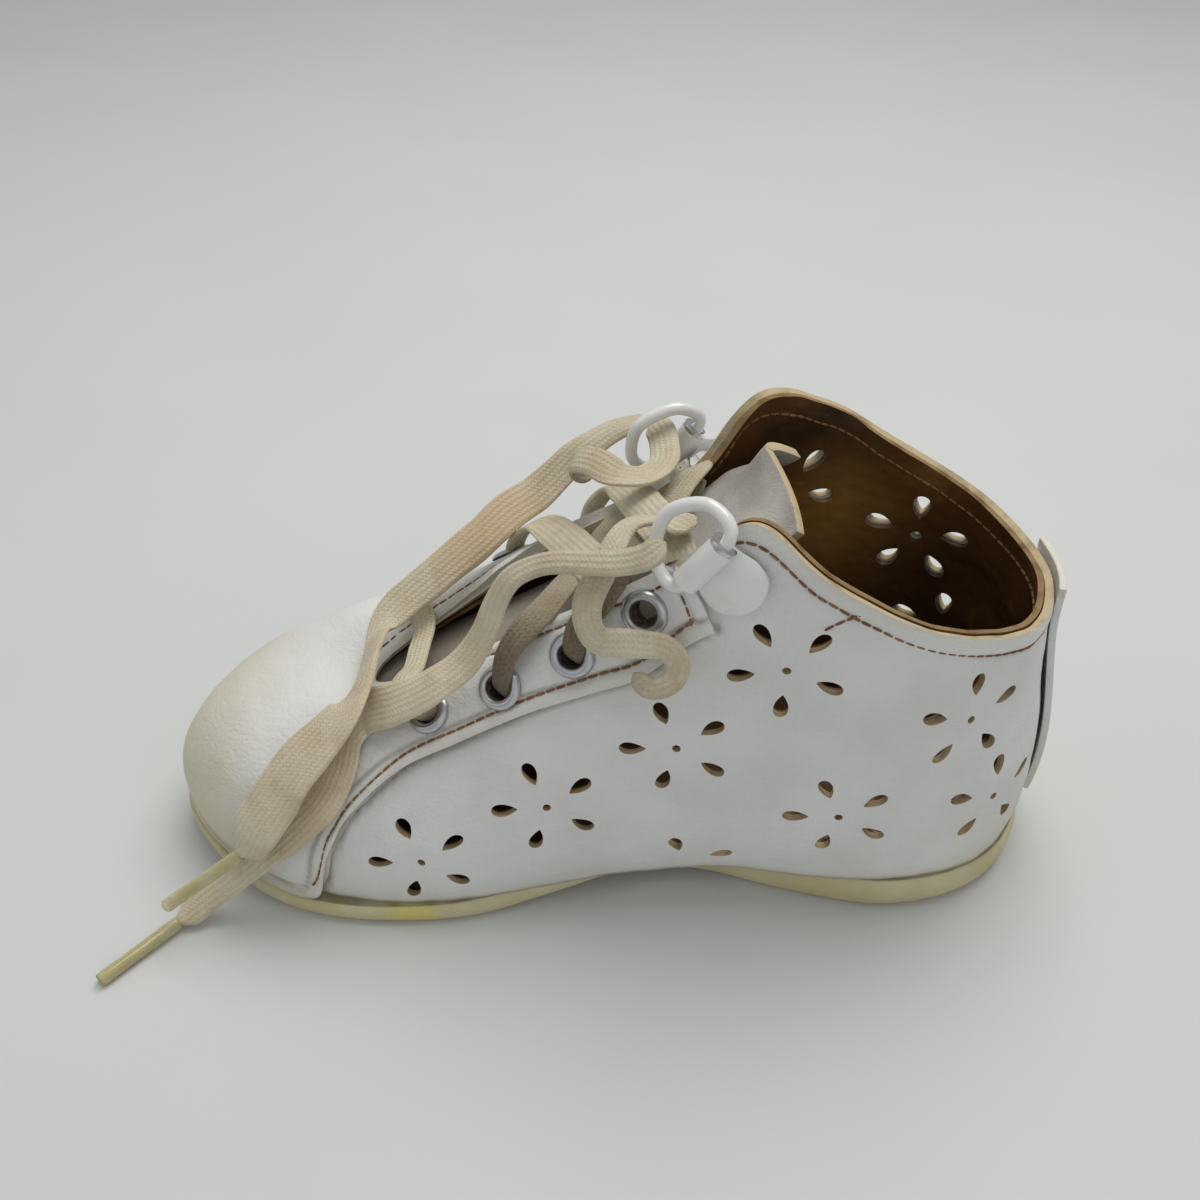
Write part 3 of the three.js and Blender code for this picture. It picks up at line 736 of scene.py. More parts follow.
@dataclass(frozen=True)
class LaceCotton:
    """Flat woven cotton, ribbed along its length, fuzzy and stained."""

    beige: Triple = (0.76, 0.66, 0.46)
    pale: Triple = (0.89, 0.82, 0.63)
    brown: Triple = (0.1, 0.05, 0.018)
    rust: Triple = (0.56, 0.29, 0.12)
    rib: float = 0.82
    weft: float = 0.62

    def make(self) -> bpy.types.Material:
        """Ribs and weft follow the strip's own map, in millimetres along and across."""
        graph = Graph("lace cotton")
        flat = graph.node("ShaderNodeTexCoord", {}, {}, "UV")
        length = self.split(graph, flat, "X")
        across = self.split(graph, flat, "Y")
        wobble = graph.noise(2.5, 2.0)
        ribs = self.wave(graph, across * (1.0 / self.rib) + 0.12 * wobble)
        weft = self.wave(graph, length * (1.0 / self.weft) + 0.5 * ribs + 0.4 * wobble)
        fuzz = graph.noise(0.35, 4.0, None, 0.75)
        patch = graph.noise(7.0, 4.0)
        colour = graph.mix(graph.step(patch, 0.34, 0.68), self.beige, self.pale)
        # Painted shade: darker in the grooves between the ribs, where the fuzz is thick.
        colour = graph.mix(0.2 * (1.0 - ribs) * graph.step(fuzz, 0.3, 0.7), colour, (0.27, 0.195, 0.105))
        colour = graph.mix(0.3 * graph.step(graph.noise(3.2, 5.0), 0.5, 0.72), colour, (0.55, 0.4, 0.25))
        colour = graph.mix(0.5 * graph.mark("rust") * (0.4 + patch), colour, self.rust)
        colour = graph.mix(graph.mark("soil") * (0.62 + 0.55 * fuzz), colour, self.brown)
        height = 0.5 * ribs + 0.3 * weft + 1.2 * fuzz
        return graph.finish(
            Base_Color=colour,
            Roughness=0.92,
            Normal=graph.bump(height, 0.2),
            Specular_IOR_Level=0.15,
            Sheen_Weight=0.25,
        )

    @staticmethod
    def split(graph: Graph, vector: Socket, axis: str) -> Socket:
        """One number of a vector."""
        return graph.node("ShaderNodeSeparateXYZ", {}, {0: vector}, axis)

    @staticmethod
    def wave(graph: Graph, turns: Socket) -> Socket:
        """Soft wave from 0 to 1 for each whole turn."""
        return 0.5 + 0.5 * graph.node("ShaderNodeMath", {"operation": "SINE"}, {0: turns * (2 * math.pi)})


@dataclass(frozen=True)
class YellowPlastic:
    """Clear plastic of the lace tips, gone yellow."""

    tint: Triple = (0.78, 0.71, 0.40)

    def make(self) -> bpy.types.Material:
        """Half clear, with faint drawn lines."""
        graph = Graph("yellow plastic")
        streak = graph.noise(4.0, 2.0)
        colour = graph.mix(graph.step(streak, 0.4, 0.7), self.tint, (0.84, 0.79, 0.54))
        return graph.finish(
            Base_Color=colour,
            Roughness=0.1 + 0.1 * streak,
            Normal=graph.bump(streak, 0.03),
            Transmission_Weight=0.6,
            IOR=1.46,
        )


@dataclass(frozen=True)
class PaleFloor:
    """Plain pale board that the shoe stands on."""

    pale: Triple = (0.66, 0.675, 0.665)

    def make(self) -> bpy.types.Material:
        """Almost even grey white."""
        graph = Graph("pale floor")
        colour = graph.mix(graph.step(graph.noise(60.0, 2.0), 0.3, 0.7), self.pale, (0.645, 0.66, 0.65))
        return graph.finish(Base_Color=colour, Roughness=0.6, Specular_IOR_Level=0.25)


@dataclass(frozen=True)
class Station:
    """One place round the last: shares of its length, half width and height, and handles in millimetres."""

    foot: Triple
    edge: Triple
    flank: tuple[float, float]
    brow: tuple[float, float]
    welt: float


STATIONS = (
    Station((1, 0, 0.1), (0.97, 0, 0.72), (15, 2.5), (0.5, -14), 0.7),
    Station((0.949, -0.612, 0.1), (0.925, -0.549, 0.735), (15, 2.5), (0.5, -14), 0.7),
    Station((0.818, -0.857, 0.1), (0.81, -0.827, 0.818), (15, 3), (1, -16), 0.7),
    Station((0.62, -0.759, 0.094), (0.707, -0.785, 0.917), (14, 4.5), (2.5, -18), -2),
    Station((0.525, -0.793, 0.085), (0.632, -0.599, 1), (14, 4.5), (4, -16), -2),
    Station((0.438, -0.865, 0.077), (0.557, -0.464, 0.864), (14, 4), (6, -14), -0.4),
    Station((0.311, -0.97, 0.062), (0.43, -0.359, 0.667), (13, 3), (9, -8), 1),
    Station((0.169, -0.907, 0.059), (0.303, -0.253, 0.485), (13, 2.5), (12, -3), 1.8),
    Station((0.066, -0.62, 0.073), (0.244, -0.148, 0.409), (14, 3), (13.5, 0), 2.1),
    Station((0, -0.127, 0.091), (0.228, 0, 0.386), (15.5, 3.2), (15.5, 3), 2.1),
    Station((0.046, 0.46, 0.079), (0.244, 0.148, 0.409), (15.5, 4), (14.5, 2.5), 2.1),
    Station((0.153, 0.869, 0.061), (0.303, 0.253, 0.485), (14, 3.8), (12.5, 1), 1.8),
    Station((0.303, 1.03, 0.061), (0.43, 0.359, 0.667), (13, 3), (9, -8), 1),
    Station((0.438, 0.97, 0.077), (0.582, 0.506, 0.828), (14, 4), (6, -14), 0.7),
    Station((0.525, 0.907, 0.085), (0.657, 0.65, 0.995), (14, 4), (4, -16), 0.4),
    Station((0.62, 0.844, 0.094), (0.739, 0.852, 0.936), (14, 4), (2.5, -18), 0.4),
    Station((0.818, 0.857, 0.1), (0.814, 0.886, 0.848), (15, 3), (1, -16), 0.7),
    Station((0.949, 0.612, 0.1), (0.929, 0.612, 0.742), (15, 2.5), (0.5, -14), 0.7),
)
TURN = len(STATIONS)
TOE = TURN // 2


class Last:
    """Form of the foot: u counts stations round it from the heel's back, v climbs from sole to top edge."""

    SCALE = np.array([126.3, 23.7, 66.0])
    ORIGIN = np.array([0.5018 * SCALE[0], 0.5, 0.0])
    LEAST_LEAN = 3.0

    def __init__(self) -> None:
        """Set up the rows of handles that the surface runs through."""
        self.foot = np.array([s.foot for s in STATIONS]) * self.SCALE - self.ORIGIN
        self.edge = np.array([s.edge for s in STATIONS]) * self.SCALE - self.ORIGIN
        before, after = np.roll(self.foot, 1, 0), np.roll(self.foot, -1, 0)
        level = np.array([1.0, 1.0, 0.0])
        out = np.stack([before[:, 1] - after[:, 1], after[:, 0] - before[:, 0], np.zeros(TURN)], axis=1)
        out = unit(out)
        lean = (self.foot - self.edge) * level
        far = np.linalg.norm(lean, axis=1, keepdims=True) > self.LEAST_LEAN
        down = np.where(far, unit(lean), out)
        up = np.array([0.0, 0.0, 1.0])
        flanks = np.array([s.flank for s in STATIONS])
        brows = np.array([s.brow for s in STATIONS])
        self.flank = self.foot + (out * flanks[:, 1:] + up * flanks[:, :1])
        self.brow = self.edge + (down * brows[:, :1] + up * brows[:, 1:])
        self.welt = self.foot + out * np.array([[s.welt] for s in STATIONS])

    def face(self, u: Array, v: Array) -> Array:
        """Points on the surface."""
        u, v = np.broadcast_arrays(np.atleast_1d(np.asarray(u, float)), np.asarray(v, float))
        rows = [curve(row, u % TURN, True) for row in (self.foot, self.flank, self.brow, self.edge)]
        up, down = v[:, None], 1 - v[:, None]
        return down**3 * rows[0] + 3 * down**2 * up * rows[1] + 3 * down * up**2 * rows[2] + up**3 * rows[3]

    def normal(self, u: Array, v: Array) -> Array:
        """Directions out of the surface."""
        step = 0.001
        held = np.clip(v, step, 1 - step)
        climb = self.face(u, held + step) - self.face(u, held - step)
        round_ = self.face(np.asarray(u) + step, held) - self.face(np.asarray(u) - step, held)
        return unit(np.cross(climb, round_))

    def leather(self, u: Array, v: Array, height: Array | float) -> Array:
        """Points at a height over the surface."""
        return self.face(u, v) + self.normal(u, v) * np.reshape(height, (-1, 1))

    def axes(self, u: float, v: float, height: float) -> tuple[Array, Array]:
        """Place on the leather, with rows towards the heel, up the leather and out of it."""
        out = self.normal(np.array([u]), np.array([v]))[0]
        back = unit(np.array([1.0, 0, 0]) - out * out[0])
        up = np.cross(out, back)
        place = self.leather(np.array([u]), np.array([v]), height)[0]
        return place, np.array([back, up * np.sign(up[2]), out])

    def find(self, points: Array) -> tuple[Array, Array]:
        """Station and height of points near the surface.

        Args:
            points: Places in millimetres.
        Returns:
            Their u and v.
        """
        u, v = (grid.ravel() for grid in np.meshgrid(np.arange(0, TURN, 0.06), np.linspace(0, 1, 48)))
        found, _ = nearest(self.face(u, v), points)
        return u[found], v[found]


class Shoe:
    """The whole object, which collects the finished pieces."""

    def __init__(self) -> None:
        """Make every finish once."""
        self.last = Last()
        self.leather = WhiteLeather().make()
        self.raw = RawEdge().make()
        self.dark_raw = RawEdge("soiled leather edge", (0.3, 0.2, 0.095), (0.09, 0.045, 0.015), 0.7).make()
        self.thread = Thread().make()

    @staticmethod
    def add(piece: bpy.types.Object, slot: Slot, nodes: Sequence[str], *finishes: bpy.types.Material) -> None:
        """Hand a piece over to the shoe.

        Args:
            piece: Finished mesh.
            slot: Material slot of the record meant for it; not used.
            nodes: Solids that it stands for.
            finishes: Materials, where the piece has none yet.
        """
        Bench.dress(piece, *finishes)
        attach(piece, "root")
        if nodes:
            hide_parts(*nodes)
        LOG.info("%s: %d faces", piece.name, len(piece.data.polygons))


@dataclass
class Sole:
    """Thin rubber sole, lifted at the waist and the toe, with the brown sock above it."""

    shoe: Shoe
    columns: int = 192
    gap: float = 0.35
    profile: tuple[tuple[float, float], ...] = ((-1.1, 0), (-0.1, 0.2), (0.25, 0.6), (0, 0.9), (-0.5, 1))

    def tread(self, x: Array) -> Array:
        """Height of the underside along the shoe."""
        arch = 2.4 * np.maximum(0, 1 - ((x - 3) / 22) ** 2) ** 2
        toe, heel = np.maximum(0, (-46 - x) / 17), np.maximum(0, (x - 57) / 7)
        return arch + 3.0 * np.minimum(toe, 1.2) ** 2 + 0.8 * heel**2

    def rim(self, u: Array, share: Array) -> Array:
        """Points of the side, from the tread's edge up to the welt."""
        step = 0.02
        welt = self.shoe.last.welt
        base = curve(welt, u % TURN, True)
        run = curve(welt, (u + step) % TURN, True) - curve(welt, (u - step) % TURN, True)
        out = unit(np.stack([-run[:, 1], run[:, 0], np.zeros(len(u))], axis=1))
        shape = along(self.profile, share)
        points = base + out * shape[:, :1]
        low, high = self.tread(points[:, 0]), base[:, 2] - self.gap
        points[:, 2] = low + np.clip(shape[:, 1], 0, 1) * (high - low)
        return points

    def cap(self, share: float) -> Place:
        """Level sheet between both sides at the bottom or the top of the side."""

        def place(s: Array, t: Array) -> Array:
            """Points straight across from side to side."""
            near = self.rim(TOE * s, np.full(len(s), share))
            far = self.rim(TURN - TOE * s, np.full(len(s), share))
            points = near + (far - near) * t[:, None]
            inside = (t > 0.01) & (t < 0.99) & (share < 0.5)
            points[inside, 2] = self.tread(points[inside, 0])
            return points

        return place

    def build(self) -> None:
        """Make the rubber sole and give the sock its finish."""

        def grime(s: Array, t: Array) -> Array:
            """Painted shade in the gap under the upper, and dirt along the tread's edge."""
            return 0.7 * smoothstep(t, 0.96, 1.0) + 0.3 * smoothstep(t, 0.16, 0.0)

        side = Bench.patch(
            "outsole_side",
            self.columns,
            14,
            lambda s, t: self.rim(TURN * s, t),
            marks={"grime": grime, "tread": lambda s, t: 0 * s},
        )
        under = {"grime": lambda s, t: 0.5 + 0 * s, "tread": lambda s, t: 1 + 0 * s}
        bottom = Bench.patch("outsole_bottom", self.columns // 2, 24, self.cap(0.0), marks=under)
        top = Bench.patch("outsole_top", self.columns // 2, 12, self.cap(1.0), marks=under)
        sole = Bench.join("outsole_rubber", [side, bottom, top])
        Bench.outward(sole)
        Bench.smooth(sole, 50)
        self.shoe.add(sole, Slot.SOLE_RUBBER, ["outsole"], YellowedRubber().make())
        insole = bpy.data.objects["insole"]
        insole.data.materials.clear()
        Bench.dress(insole, SockLeather().make())


@dataclass(frozen=True)
class Crease:
    """Soft trough along a line on the leather, or a ridge where its depth is below zero."""

    line: tuple[tuple[float, float], ...]
    depth: float
    width: float


CREASES = (
    Crease(((6.1, 0.05), (6.3, 0.3), (6.2, 0.52)), 0.45, 1.6),
    Crease(((5.75, 0.12), (5.85, 0.35), (5.8, 0.55)), 0.32, 1.4),
    Crease(((6.02, 0.1), (6.1, 0.32), (6.02, 0.5)), -0.25, 1.5),
    Crease(((7.3, 0.25), (7.45, 0.55), (7.6, 0.8)), 0.5, 2.2),
    Crease(((7.7, 0.45), (7.9, 0.7), (8.1, 0.86)), 0.35, 1.8),
    Crease(((7.52, 0.4), (7.68, 0.62), (7.85, 0.82)), -0.3, 2.0),
    Crease(((4.3, 0.42), (3.7, 0.6), (3.1, 0.62)), 0.4, 2.2),
    Crease(((4.5, 0.28), (3.9, 0.32), (3.4, 0.26)), 0.3, 2.0),
    Crease(((2.0, 0.55), (1.5, 0.5), (0.9, 0.52)), 0.35, 2.4),
    Crease(((1.3, 0.12), (0.9, 0.18), (0.45, 0.14)), 0.4, 1.8),
    Crease(((8.35, 0.16), (8.6, 0.2), (8.8, 0.17)), 0.3, 0.8),
    Crease(((11.9, 0.1), (11.8, 0.35), (11.9, 0.6)), 0.5, 1.9),
    Crease(((12.3, 0.08), (12.2, 0.32), (12.3, 0.5)), 0.35, 1.6),
    Crease(((10.6, 0.3), (10.4, 0.6), (10.2, 0.82)), 0.45, 2.2),
    Crease(((14.0, 0.45), (14.6, 0.6), (15.2, 0.58)), 0.4, 2.4),
    Crease(((16.2, 0.5), (16.7, 0.46), (17.2, 0.5)), 0.35, 2.4),
)


PETALS = 5
PETAL_STEP = 360 / PETALS
FIRST_PETAL = 54


@dataclass(frozen=True)
class Flower:
    """Five punched petals round a small hole."""

    at: tuple[float, float]
    turn: float
    petals: tuple[int, ...] = tuple(range(PETALS))


FLOWERS = (
    Flower((3.1, 0.747), -2),
    Flower((3.91, 0.462), -15),
    Flower((5.26, 0.357), -15),
    Flower((6.18, 0.218), -15),
    Flower((2.38, 0.324), -13),
    Flower((3.24, 0.03), -20, (0, 1)),
    Flower((1.57, 0.703), -34),
    Flower((1.26, 0.343), -34),
)
EYELETS = ((6.56, 0.774), (6.04, 0.792), (5.53, 0.823), (5.0, 0.869))
SEAM_PAIRS = (
    ((3.97, 0.745), (4.95, 1)), ((4.65, 0.682), (5.2, 1)), ((5.29, 0.687), (5.5, 1)),
    ((5.77, 0.679), (5.85, 1)), ((6.19, 0.64), (6.25, 1)), ((6.57, 0.577), (6.65, 1)),
    ((6.81, 0.421), (7, 1)), ((6.88, 0.277), (7.3, 1)), ((7.02, 0.015), (7.6, 1)),
    ((8, 0.015), (8.3, 1)), ((9, 0.015), (9, 1)),
)
VAMP = SEAM_PAIRS + tuple(tuple((TURN - u, v) for u, v in pair) for pair in SEAM_PAIRS[-2::-1])


def both(u: float) -> tuple[float, float]:
    """Station on the near side and its mirror on the far side."""
    return u, TURN - u


@dataclass
class Upper:
    """Quarters with punched flowers, lining, vamp with its eyestays, heel strip and all their stitching."""

    shoe: Shoe
    columns: int = 324
    rows: int = 58
    quarter: float = 1.05
    lining: float = 0.8
    vamp: float = 1.45
    step: float = 1.5
    collar_row: float = 2.9
    seam_row: float = 2.3
    throat_row: float = 1.9
    pitch: float = 1.55
    petal: Triple = (3.6, 2.15, 5.8)
    middle: float = 0.58
    eyelet: float = 2.5
    reach: float = 6.0
    groove: tuple[float, float] = (0.38, 0.42)
    puff: float = 0.26
    drop: float = 0.4
    sunk: float = 0.24
    open_from: float = 4.75
    strip: float = 0.36
    strip_thickness: float = 1.0
    glue: float = 0.06
    slack: float = 0.8

    def troughs(self, points: Array) -> Array:
        """Depth of the creases at points of the last."""
        depth = np.zeros(len(points))
        for crease in CREASES:
            share = np.linspace(0, 1, 14)
            spots = along(crease.line, share)
            line = self.shoe.last.face(spots[:, 0], spots[:, 1])
            away = np.linalg.norm(points[:, None] - line[None], axis=2)
            fade = np.sin(np.pi * (0.06 + 0.88 * share[away.argmin(axis=1)]))
            depth += crease.depth * fade * np.exp(-((away.min(axis=1) / crease.width) ** 2))
        return depth

    @staticmethod
    def waves(points: Array) -> Array:
        """Slight unevenness that every worn wall has."""
        x, y, z = points.T
        slow = np.sin(0.31 * x + 0.2 * z + 0.6) * np.sin(0.27 * z - 0.11 * y + 1.9)
        quick = np.sin(0.83 * x - 0.6 * z + 0.4 * y) * np.sin(0.71 * z + 0.37 * x + 2.2)
        return 0.16 * slow + 0.07 * quick

    def relief(self, points: Array) -> Array:
        """Creases and unevenness together."""
        return self.waves(points) - self.troughs(points)

    def hem(self, away: Array, row: float) -> Array:
        """Puffed edge beyond a stitched groove, by the distance from the edge."""
        depth, width = self.groove
        groove = -depth * np.exp(-(((away - row) / width) ** 2))
        puff = self.puff * smoothstep(away, row, row * 0.55) * np.sqrt(np.clip(away / 0.7, 0.05, 1))
        return groove + puff

    def skin(self, height: float, top: float, hemmed: bool) -> tuple[Place, Place]:
        """Sheet all round the last.

        Args:
            height: Height over the last.
            top: How high it climbs.
            hemmed: Whether it is grooved for the collar's stitches.
        Returns:
            Its points and its outward directions.
        """
        last = self.shoe.last

        def place(s: Array, t: Array) -> Array:
            """Points of the sheet, with its creases."""
            u, v = TURN * s, top * t
            points, out = last.face(u, v), last.normal(u, v)
            points[:, 2] -= self.drop * smoothstep(v, 0.04, 0.0)
            rise = height + self.relief(points)
            if hemmed:
                away = apart(points, last.face(u, 1.0 + 0 * u))
                rise = rise + self.hem(away, self.collar_row)
            return points + out * rise[:, None]

        return place, lambda s, t: last.normal(TURN * s, top * t)

    def cutters(self, wider: float) -> bpy.types.Object:
        """Punches for every flower and every eyelet, as one piece.

        Args:
            wider: How much wider the petals are than the punched leather.
        Returns:
            The punches.
        """
        length, width, away = self.petal[0] + wider, self.petal[1] + wider, self.petal[2]
        spots: list[tuple[Array, Array]] = []
        holes: list[tuple[Array, Array]] = []
        for flower in FLOWERS:
            for u in both(flower.at[0]):
                place, (back, up, out) = self.shoe.last.axes(u, flower.at[1], -0.6)
                for which in flower.petals:
                    angle = math.radians(FIRST_PETAL + PETAL_STEP * (1 - which) + flower.turn)
                    ray = math.cos(angle) * back + math.sin(angle) * up
                    spots.append((place + ray * away, np.array([ray, np.cross(out, ray), out])))
                if len(flower.petals) == PETALS:
                    holes.append((place, np.array([back, np.cross(out, back), out])))
        Bench.clear()
        bpy.ops.mesh.primitive_cylinder_add(vertices=22, radius=MM, depth=self.reach * MM)
        drop = bpy.context.object
        points = Bench.places(drop)
        points[:, 1] *= 1.12 * width / 2 * (0.02 + np.clip((1 + points[:, 0]) / 2, 0, 1)) ** 0.4
        points[:, 0] *= length / 2
        Bench.move(drop, points)
        petals = Bench.copies("petal_punch", drop, spots)
        Bench.clear()
        radius = (self.middle + wider / 2) * MM
        bpy.ops.mesh.primitive_cylinder_add(vertices=14, radius=radius, depth=self.reach * MM)
        middles = Bench.copies("middle_punch", bpy.context.object, holes)
        Bench.clear()
        bpy.ops.mesh.primitive_cylinder_add(vertices=24, radius=self.eyelet * MM, depth=1.5 * self.reach * MM)
        stays = [self.shoe.last.axes(u, v, 0.0) for at, v in EYELETS for u in both(at)]
        eyelets = Bench.copies("eyelet_punch", bpy.context.object, stays)
        punch = Bench.join("punch", [petals, middles, eyelets])
        Bench.dress(punch, self.shoe.raw)
        return punch

    def soil(self, piece: bpy.types.Object, folded: bool = False) -> None:
        """Mark where a piece has gone yellow, and where it is darkened by grime and by painted shade.

        Args:
            piece: Leather piece of the upper.
            folded: Whether its edge is folded, which gives it a cream band there.
        """
        points = Bench.places(piece)
        _, v = self.shoe.last.find(points)
        x, y, z = points.T
        toe = smoothstep(x, -42, -61) * (0.55 + 0.3 * smoothstep(y, -12, 16))
        toe = toe * (0.7 + 0.3 * smoothstep(z, 26, 10))
        heel = 0.3 * smoothstep(x, 46, 58) * smoothstep(z, 22, 9)
        rim = 0.3 * smoothstep(v, 0.965, 1.0) + 0.22 * smoothstep(v, 0.07, 0.0)
        run = np.linspace(0, 1, 700)
        _, near_seam = nearest(self.shoe.last.face(*self.vamp_at(run, 0 * run)), points)
        # Painted shade with dirt: darker next to the vamp's seam, where the overlapping edge shades the
        # quarters, and darker at the sole line.
        dirt = 0.75 * smoothstep(near_seam, 1.3, 0.1) + 0.65 * smoothstep(v, 0.025, 0.0)
        if folded:
            rim = rim + 0.13 * smoothstep(near_seam, 2.7, 2.3)
            # Painted shadow with dirt: a dark line along the lower edge of the folded band, and darker next
            # to the seam.
            dirt = 0.6 * np.exp(-(((near_seam - 2.65) / 0.3) ** 2)) + 0.3 * smoothstep(near_seam, 0.8, 0.1)
            dirt = dirt + 0.65 * smoothstep(v, 0.03, 0.0)
        Bench.mark(piece, "yellow", np.clip(toe + heel + rim + 0.02, 0, 1))
        Bench.mark(piece, "grime", np.clip(dirt, 0, 1))

    def vamp_at(self, s: Array, t: Array) -> tuple[Array, Array]:
        """Station and height across the vamp, from its seam to the throat."""
        seam = along([pair[0] for pair in VAMP], s)
        throat = along([pair[1] for pair in VAMP], s)
        spot = seam + (throat - seam) * t[:, None]
        return spot[:, 0], np.clip(spot[:, 1], 0.0, 1.0)

    def inset(self, edge: Edge, away: float, s: Array) -> tuple[Array, Array]:
        """Stations and heights of a line that keeps its distance from an edge.

        Args:
            edge: The vamp's seam or throat, or the collar.
            away: Distance from it.
            s: Shares of the edge's run.
        Returns:
            u and v along the line.
        """
        steps = np.linspace(0, 0.45, 40)
        grid_s, grid_t = (g.ravel() for g in np.meshgrid(s, steps, indexing="ij"))
        if edge is Edge.COLLAR:
            u, v = TURN * grid_s, 1 - grid_t
        else:
            u, v = self.vamp_at(grid_s, grid_t if edge is Edge.SEAM else 1 - grid_t)
        points = self.shoe.last.face(u, v).reshape(len(s), len(steps), 3)
        reach = np.linalg.norm(points - points[:, :1], axis=2)
        found = np.array([np.interp(away, row, steps) for row in reach])
        if edge is Edge.COLLAR:
            return TURN * s, 1 - found
        return self.vamp_at(s, found if edge is Edge.SEAM else 1 - found)

    def stitches(
        self, name: str, lines: Sequence[Array], lifts: Sequence[Array], radius: float = 0.2
    ) -> None:
        """Rows of stitches along lines, as one piece.

        Args:
            name: Name of the piece.
            lines: Points along each row.
            lifts: Directions out of the leather along each row.
            radius: Radius of the thread.
        """
        frames: list[tuple[Array, Array]] = []
        for line, lift in zip(lines, lifts):
            reach = reached(line)
            goal = np.arange(self.pitch / 2, reach[-1], self.pitch)
            spots = read(goal, reach, line)
            ahead = read(goal + 0.3, reach, line)
            outs = unit(read(goal, reach, lift))
            runs = unit(ahead - spots + 1e-6)
            for spot, run, out in zip(spots, runs, outs):
                side = unit(np.cross(out, run))
                frames.append((spot, np.array([0.46 * self.pitch * run, radius * side, radius * out])))
        row = Bench.copies(name, Bench.rod("stitch", 8, 6), frames)
        Bench.smooth(row, 60)
        self.shoe.add(row, Slot.WHITE_LEATHER, [], self.shoe.thread)

    def build(self) -> None:
        """Make every layer of the upper and sew it."""
        wide, punch = self.cutters(self.slack), self.cutters(0.0)
        self.quarters(punch)
        self.inside(wide)
        self.overlay(punch)
        bpy.data.objects.remove(wide)
        bpy.data.objects.remove(punch)
        self.heel_strip()
        self.sew()

    def quarters(self, punch: bpy.types.Object) -> None:
        """Outer leather of the wall."""
        place, toward = self.skin(0.0, 1.0, True)
        wall = Bench.patch("quarters", self.columns, self.rows, place, toward)
        Bench.dress(wall, self.shoe.leather, self.shoe.raw)
        Bench.thicken(wall, self.quarter, 1)
        Bench.cut(wall, punch)
        self.soil(wall)
        Bench.smooth(wall, 38)
        self.shoe.add(wall, Slot.WHITE_LEATHER, ["upper"])

    def inside(self, punch: bpy.types.Object) -> None:
        """Lining glued inside the wall."""
        place, toward = self.skin(-self.quarter - self.glue, 0.999, False)
        lining = Bench.patch("lining", 240, 44, place, toward)
        Bench.dress(lining, Lining().make(), self.shoe.dark_raw)
        punch.data.materials[0] = lining.data.materials[0]
        Bench.thicken(lining, self.lining, 1)
        Bench.cut(lining, punch)
        Bench.smooth(lining, 38)
        self.shoe.add(lining, Slot.WHITE_LEATHER, ["upper"])

    def overlay(self, punch: bpy.types.Object) -> None:
        """Vamp and eyestays lying over the quarters."""
        last = self.shoe.last

        def place(s: Array, t: Array) -> Array:
            """Top of the vamp, puffed along its seam and its throat."""
            u, v = self.vamp_at(s, t)
            points = last.face(u, v)
            seam = apart(points, last.face(*self.vamp_at(s, 0 * t)))
            throat = apart(points, last.face(*self.vamp_at(s, 0 * t + 1)))
            rear = np.minimum(
                apart(points, last.face(*self.vamp_at(0 * s, t))),
                apart(points, last.face(*self.vamp_at(0 * s + 1, t))),
            )
            folded = np.minimum(np.minimum(seam, rear), 9)
            ripple = 0.1 * np.sin(70 * s) * np.exp(-folded / 2)
            points[:, 2] -= self.drop * smoothstep(v, 0.05, 0.0)
            rise = self.step + self.relief(points) + ripple
            rise = rise + self.hem(folded, self.seam_row) + 0.7 * self.hem(throat, self.throat_row)
            return points + last.normal(u, v) * rise[:, None]

        vamp = Bench.patch("vamp", 330, 46, place, lambda s, t: last.normal(*self.vamp_at(s, t)))
        Bench.dress(vamp, self.shoe.leather, self.shoe.raw)
        Bench.thicken(vamp, self.vamp)
        Bench.cut(vamp, punch)
        self.soil(vamp, True)
        Bench.smooth(vamp, 38)
        self.shoe.add(vamp, Slot.WHITE_LEATHER, ["upper"])

    def heel_strip(self) -> None:
        """Strip down the middle of the heel, standing slightly off it."""
        last = self.shoe.last

        def place(s: Array, t: Array) -> Array:
            """Outer side of the strip."""
            u, v = self.strip * (2 * s - 1), 0.07 + 0.96 * t
            lift = 1.2 + 0.35 * np.sin(np.pi * t) + 0.3 * smoothstep(t, 0.8, 1.0)
            return last.face(u, v) + last.normal(u, v) * lift[:, None]

        def toward(s: Array, t: Array) -> Array:
            """Away from the heel."""
            return last.normal(self.strip * (2 * s - 1), t)

        strip = Bench.patch("heel_strip", 14, 60, place, toward)
        Bench.dress(strip, self.shoe.leather)
        Bench.thicken(strip, self.strip_thickness)
        Bench.apply(strip, "BEVEL", width=0.18 * MM, segments=2)
        self.soil(strip)
        Bench.smooth(strip, 45)
        self.shoe.add(strip, Slot.WHITE_LEATHER, ["back_strip"])

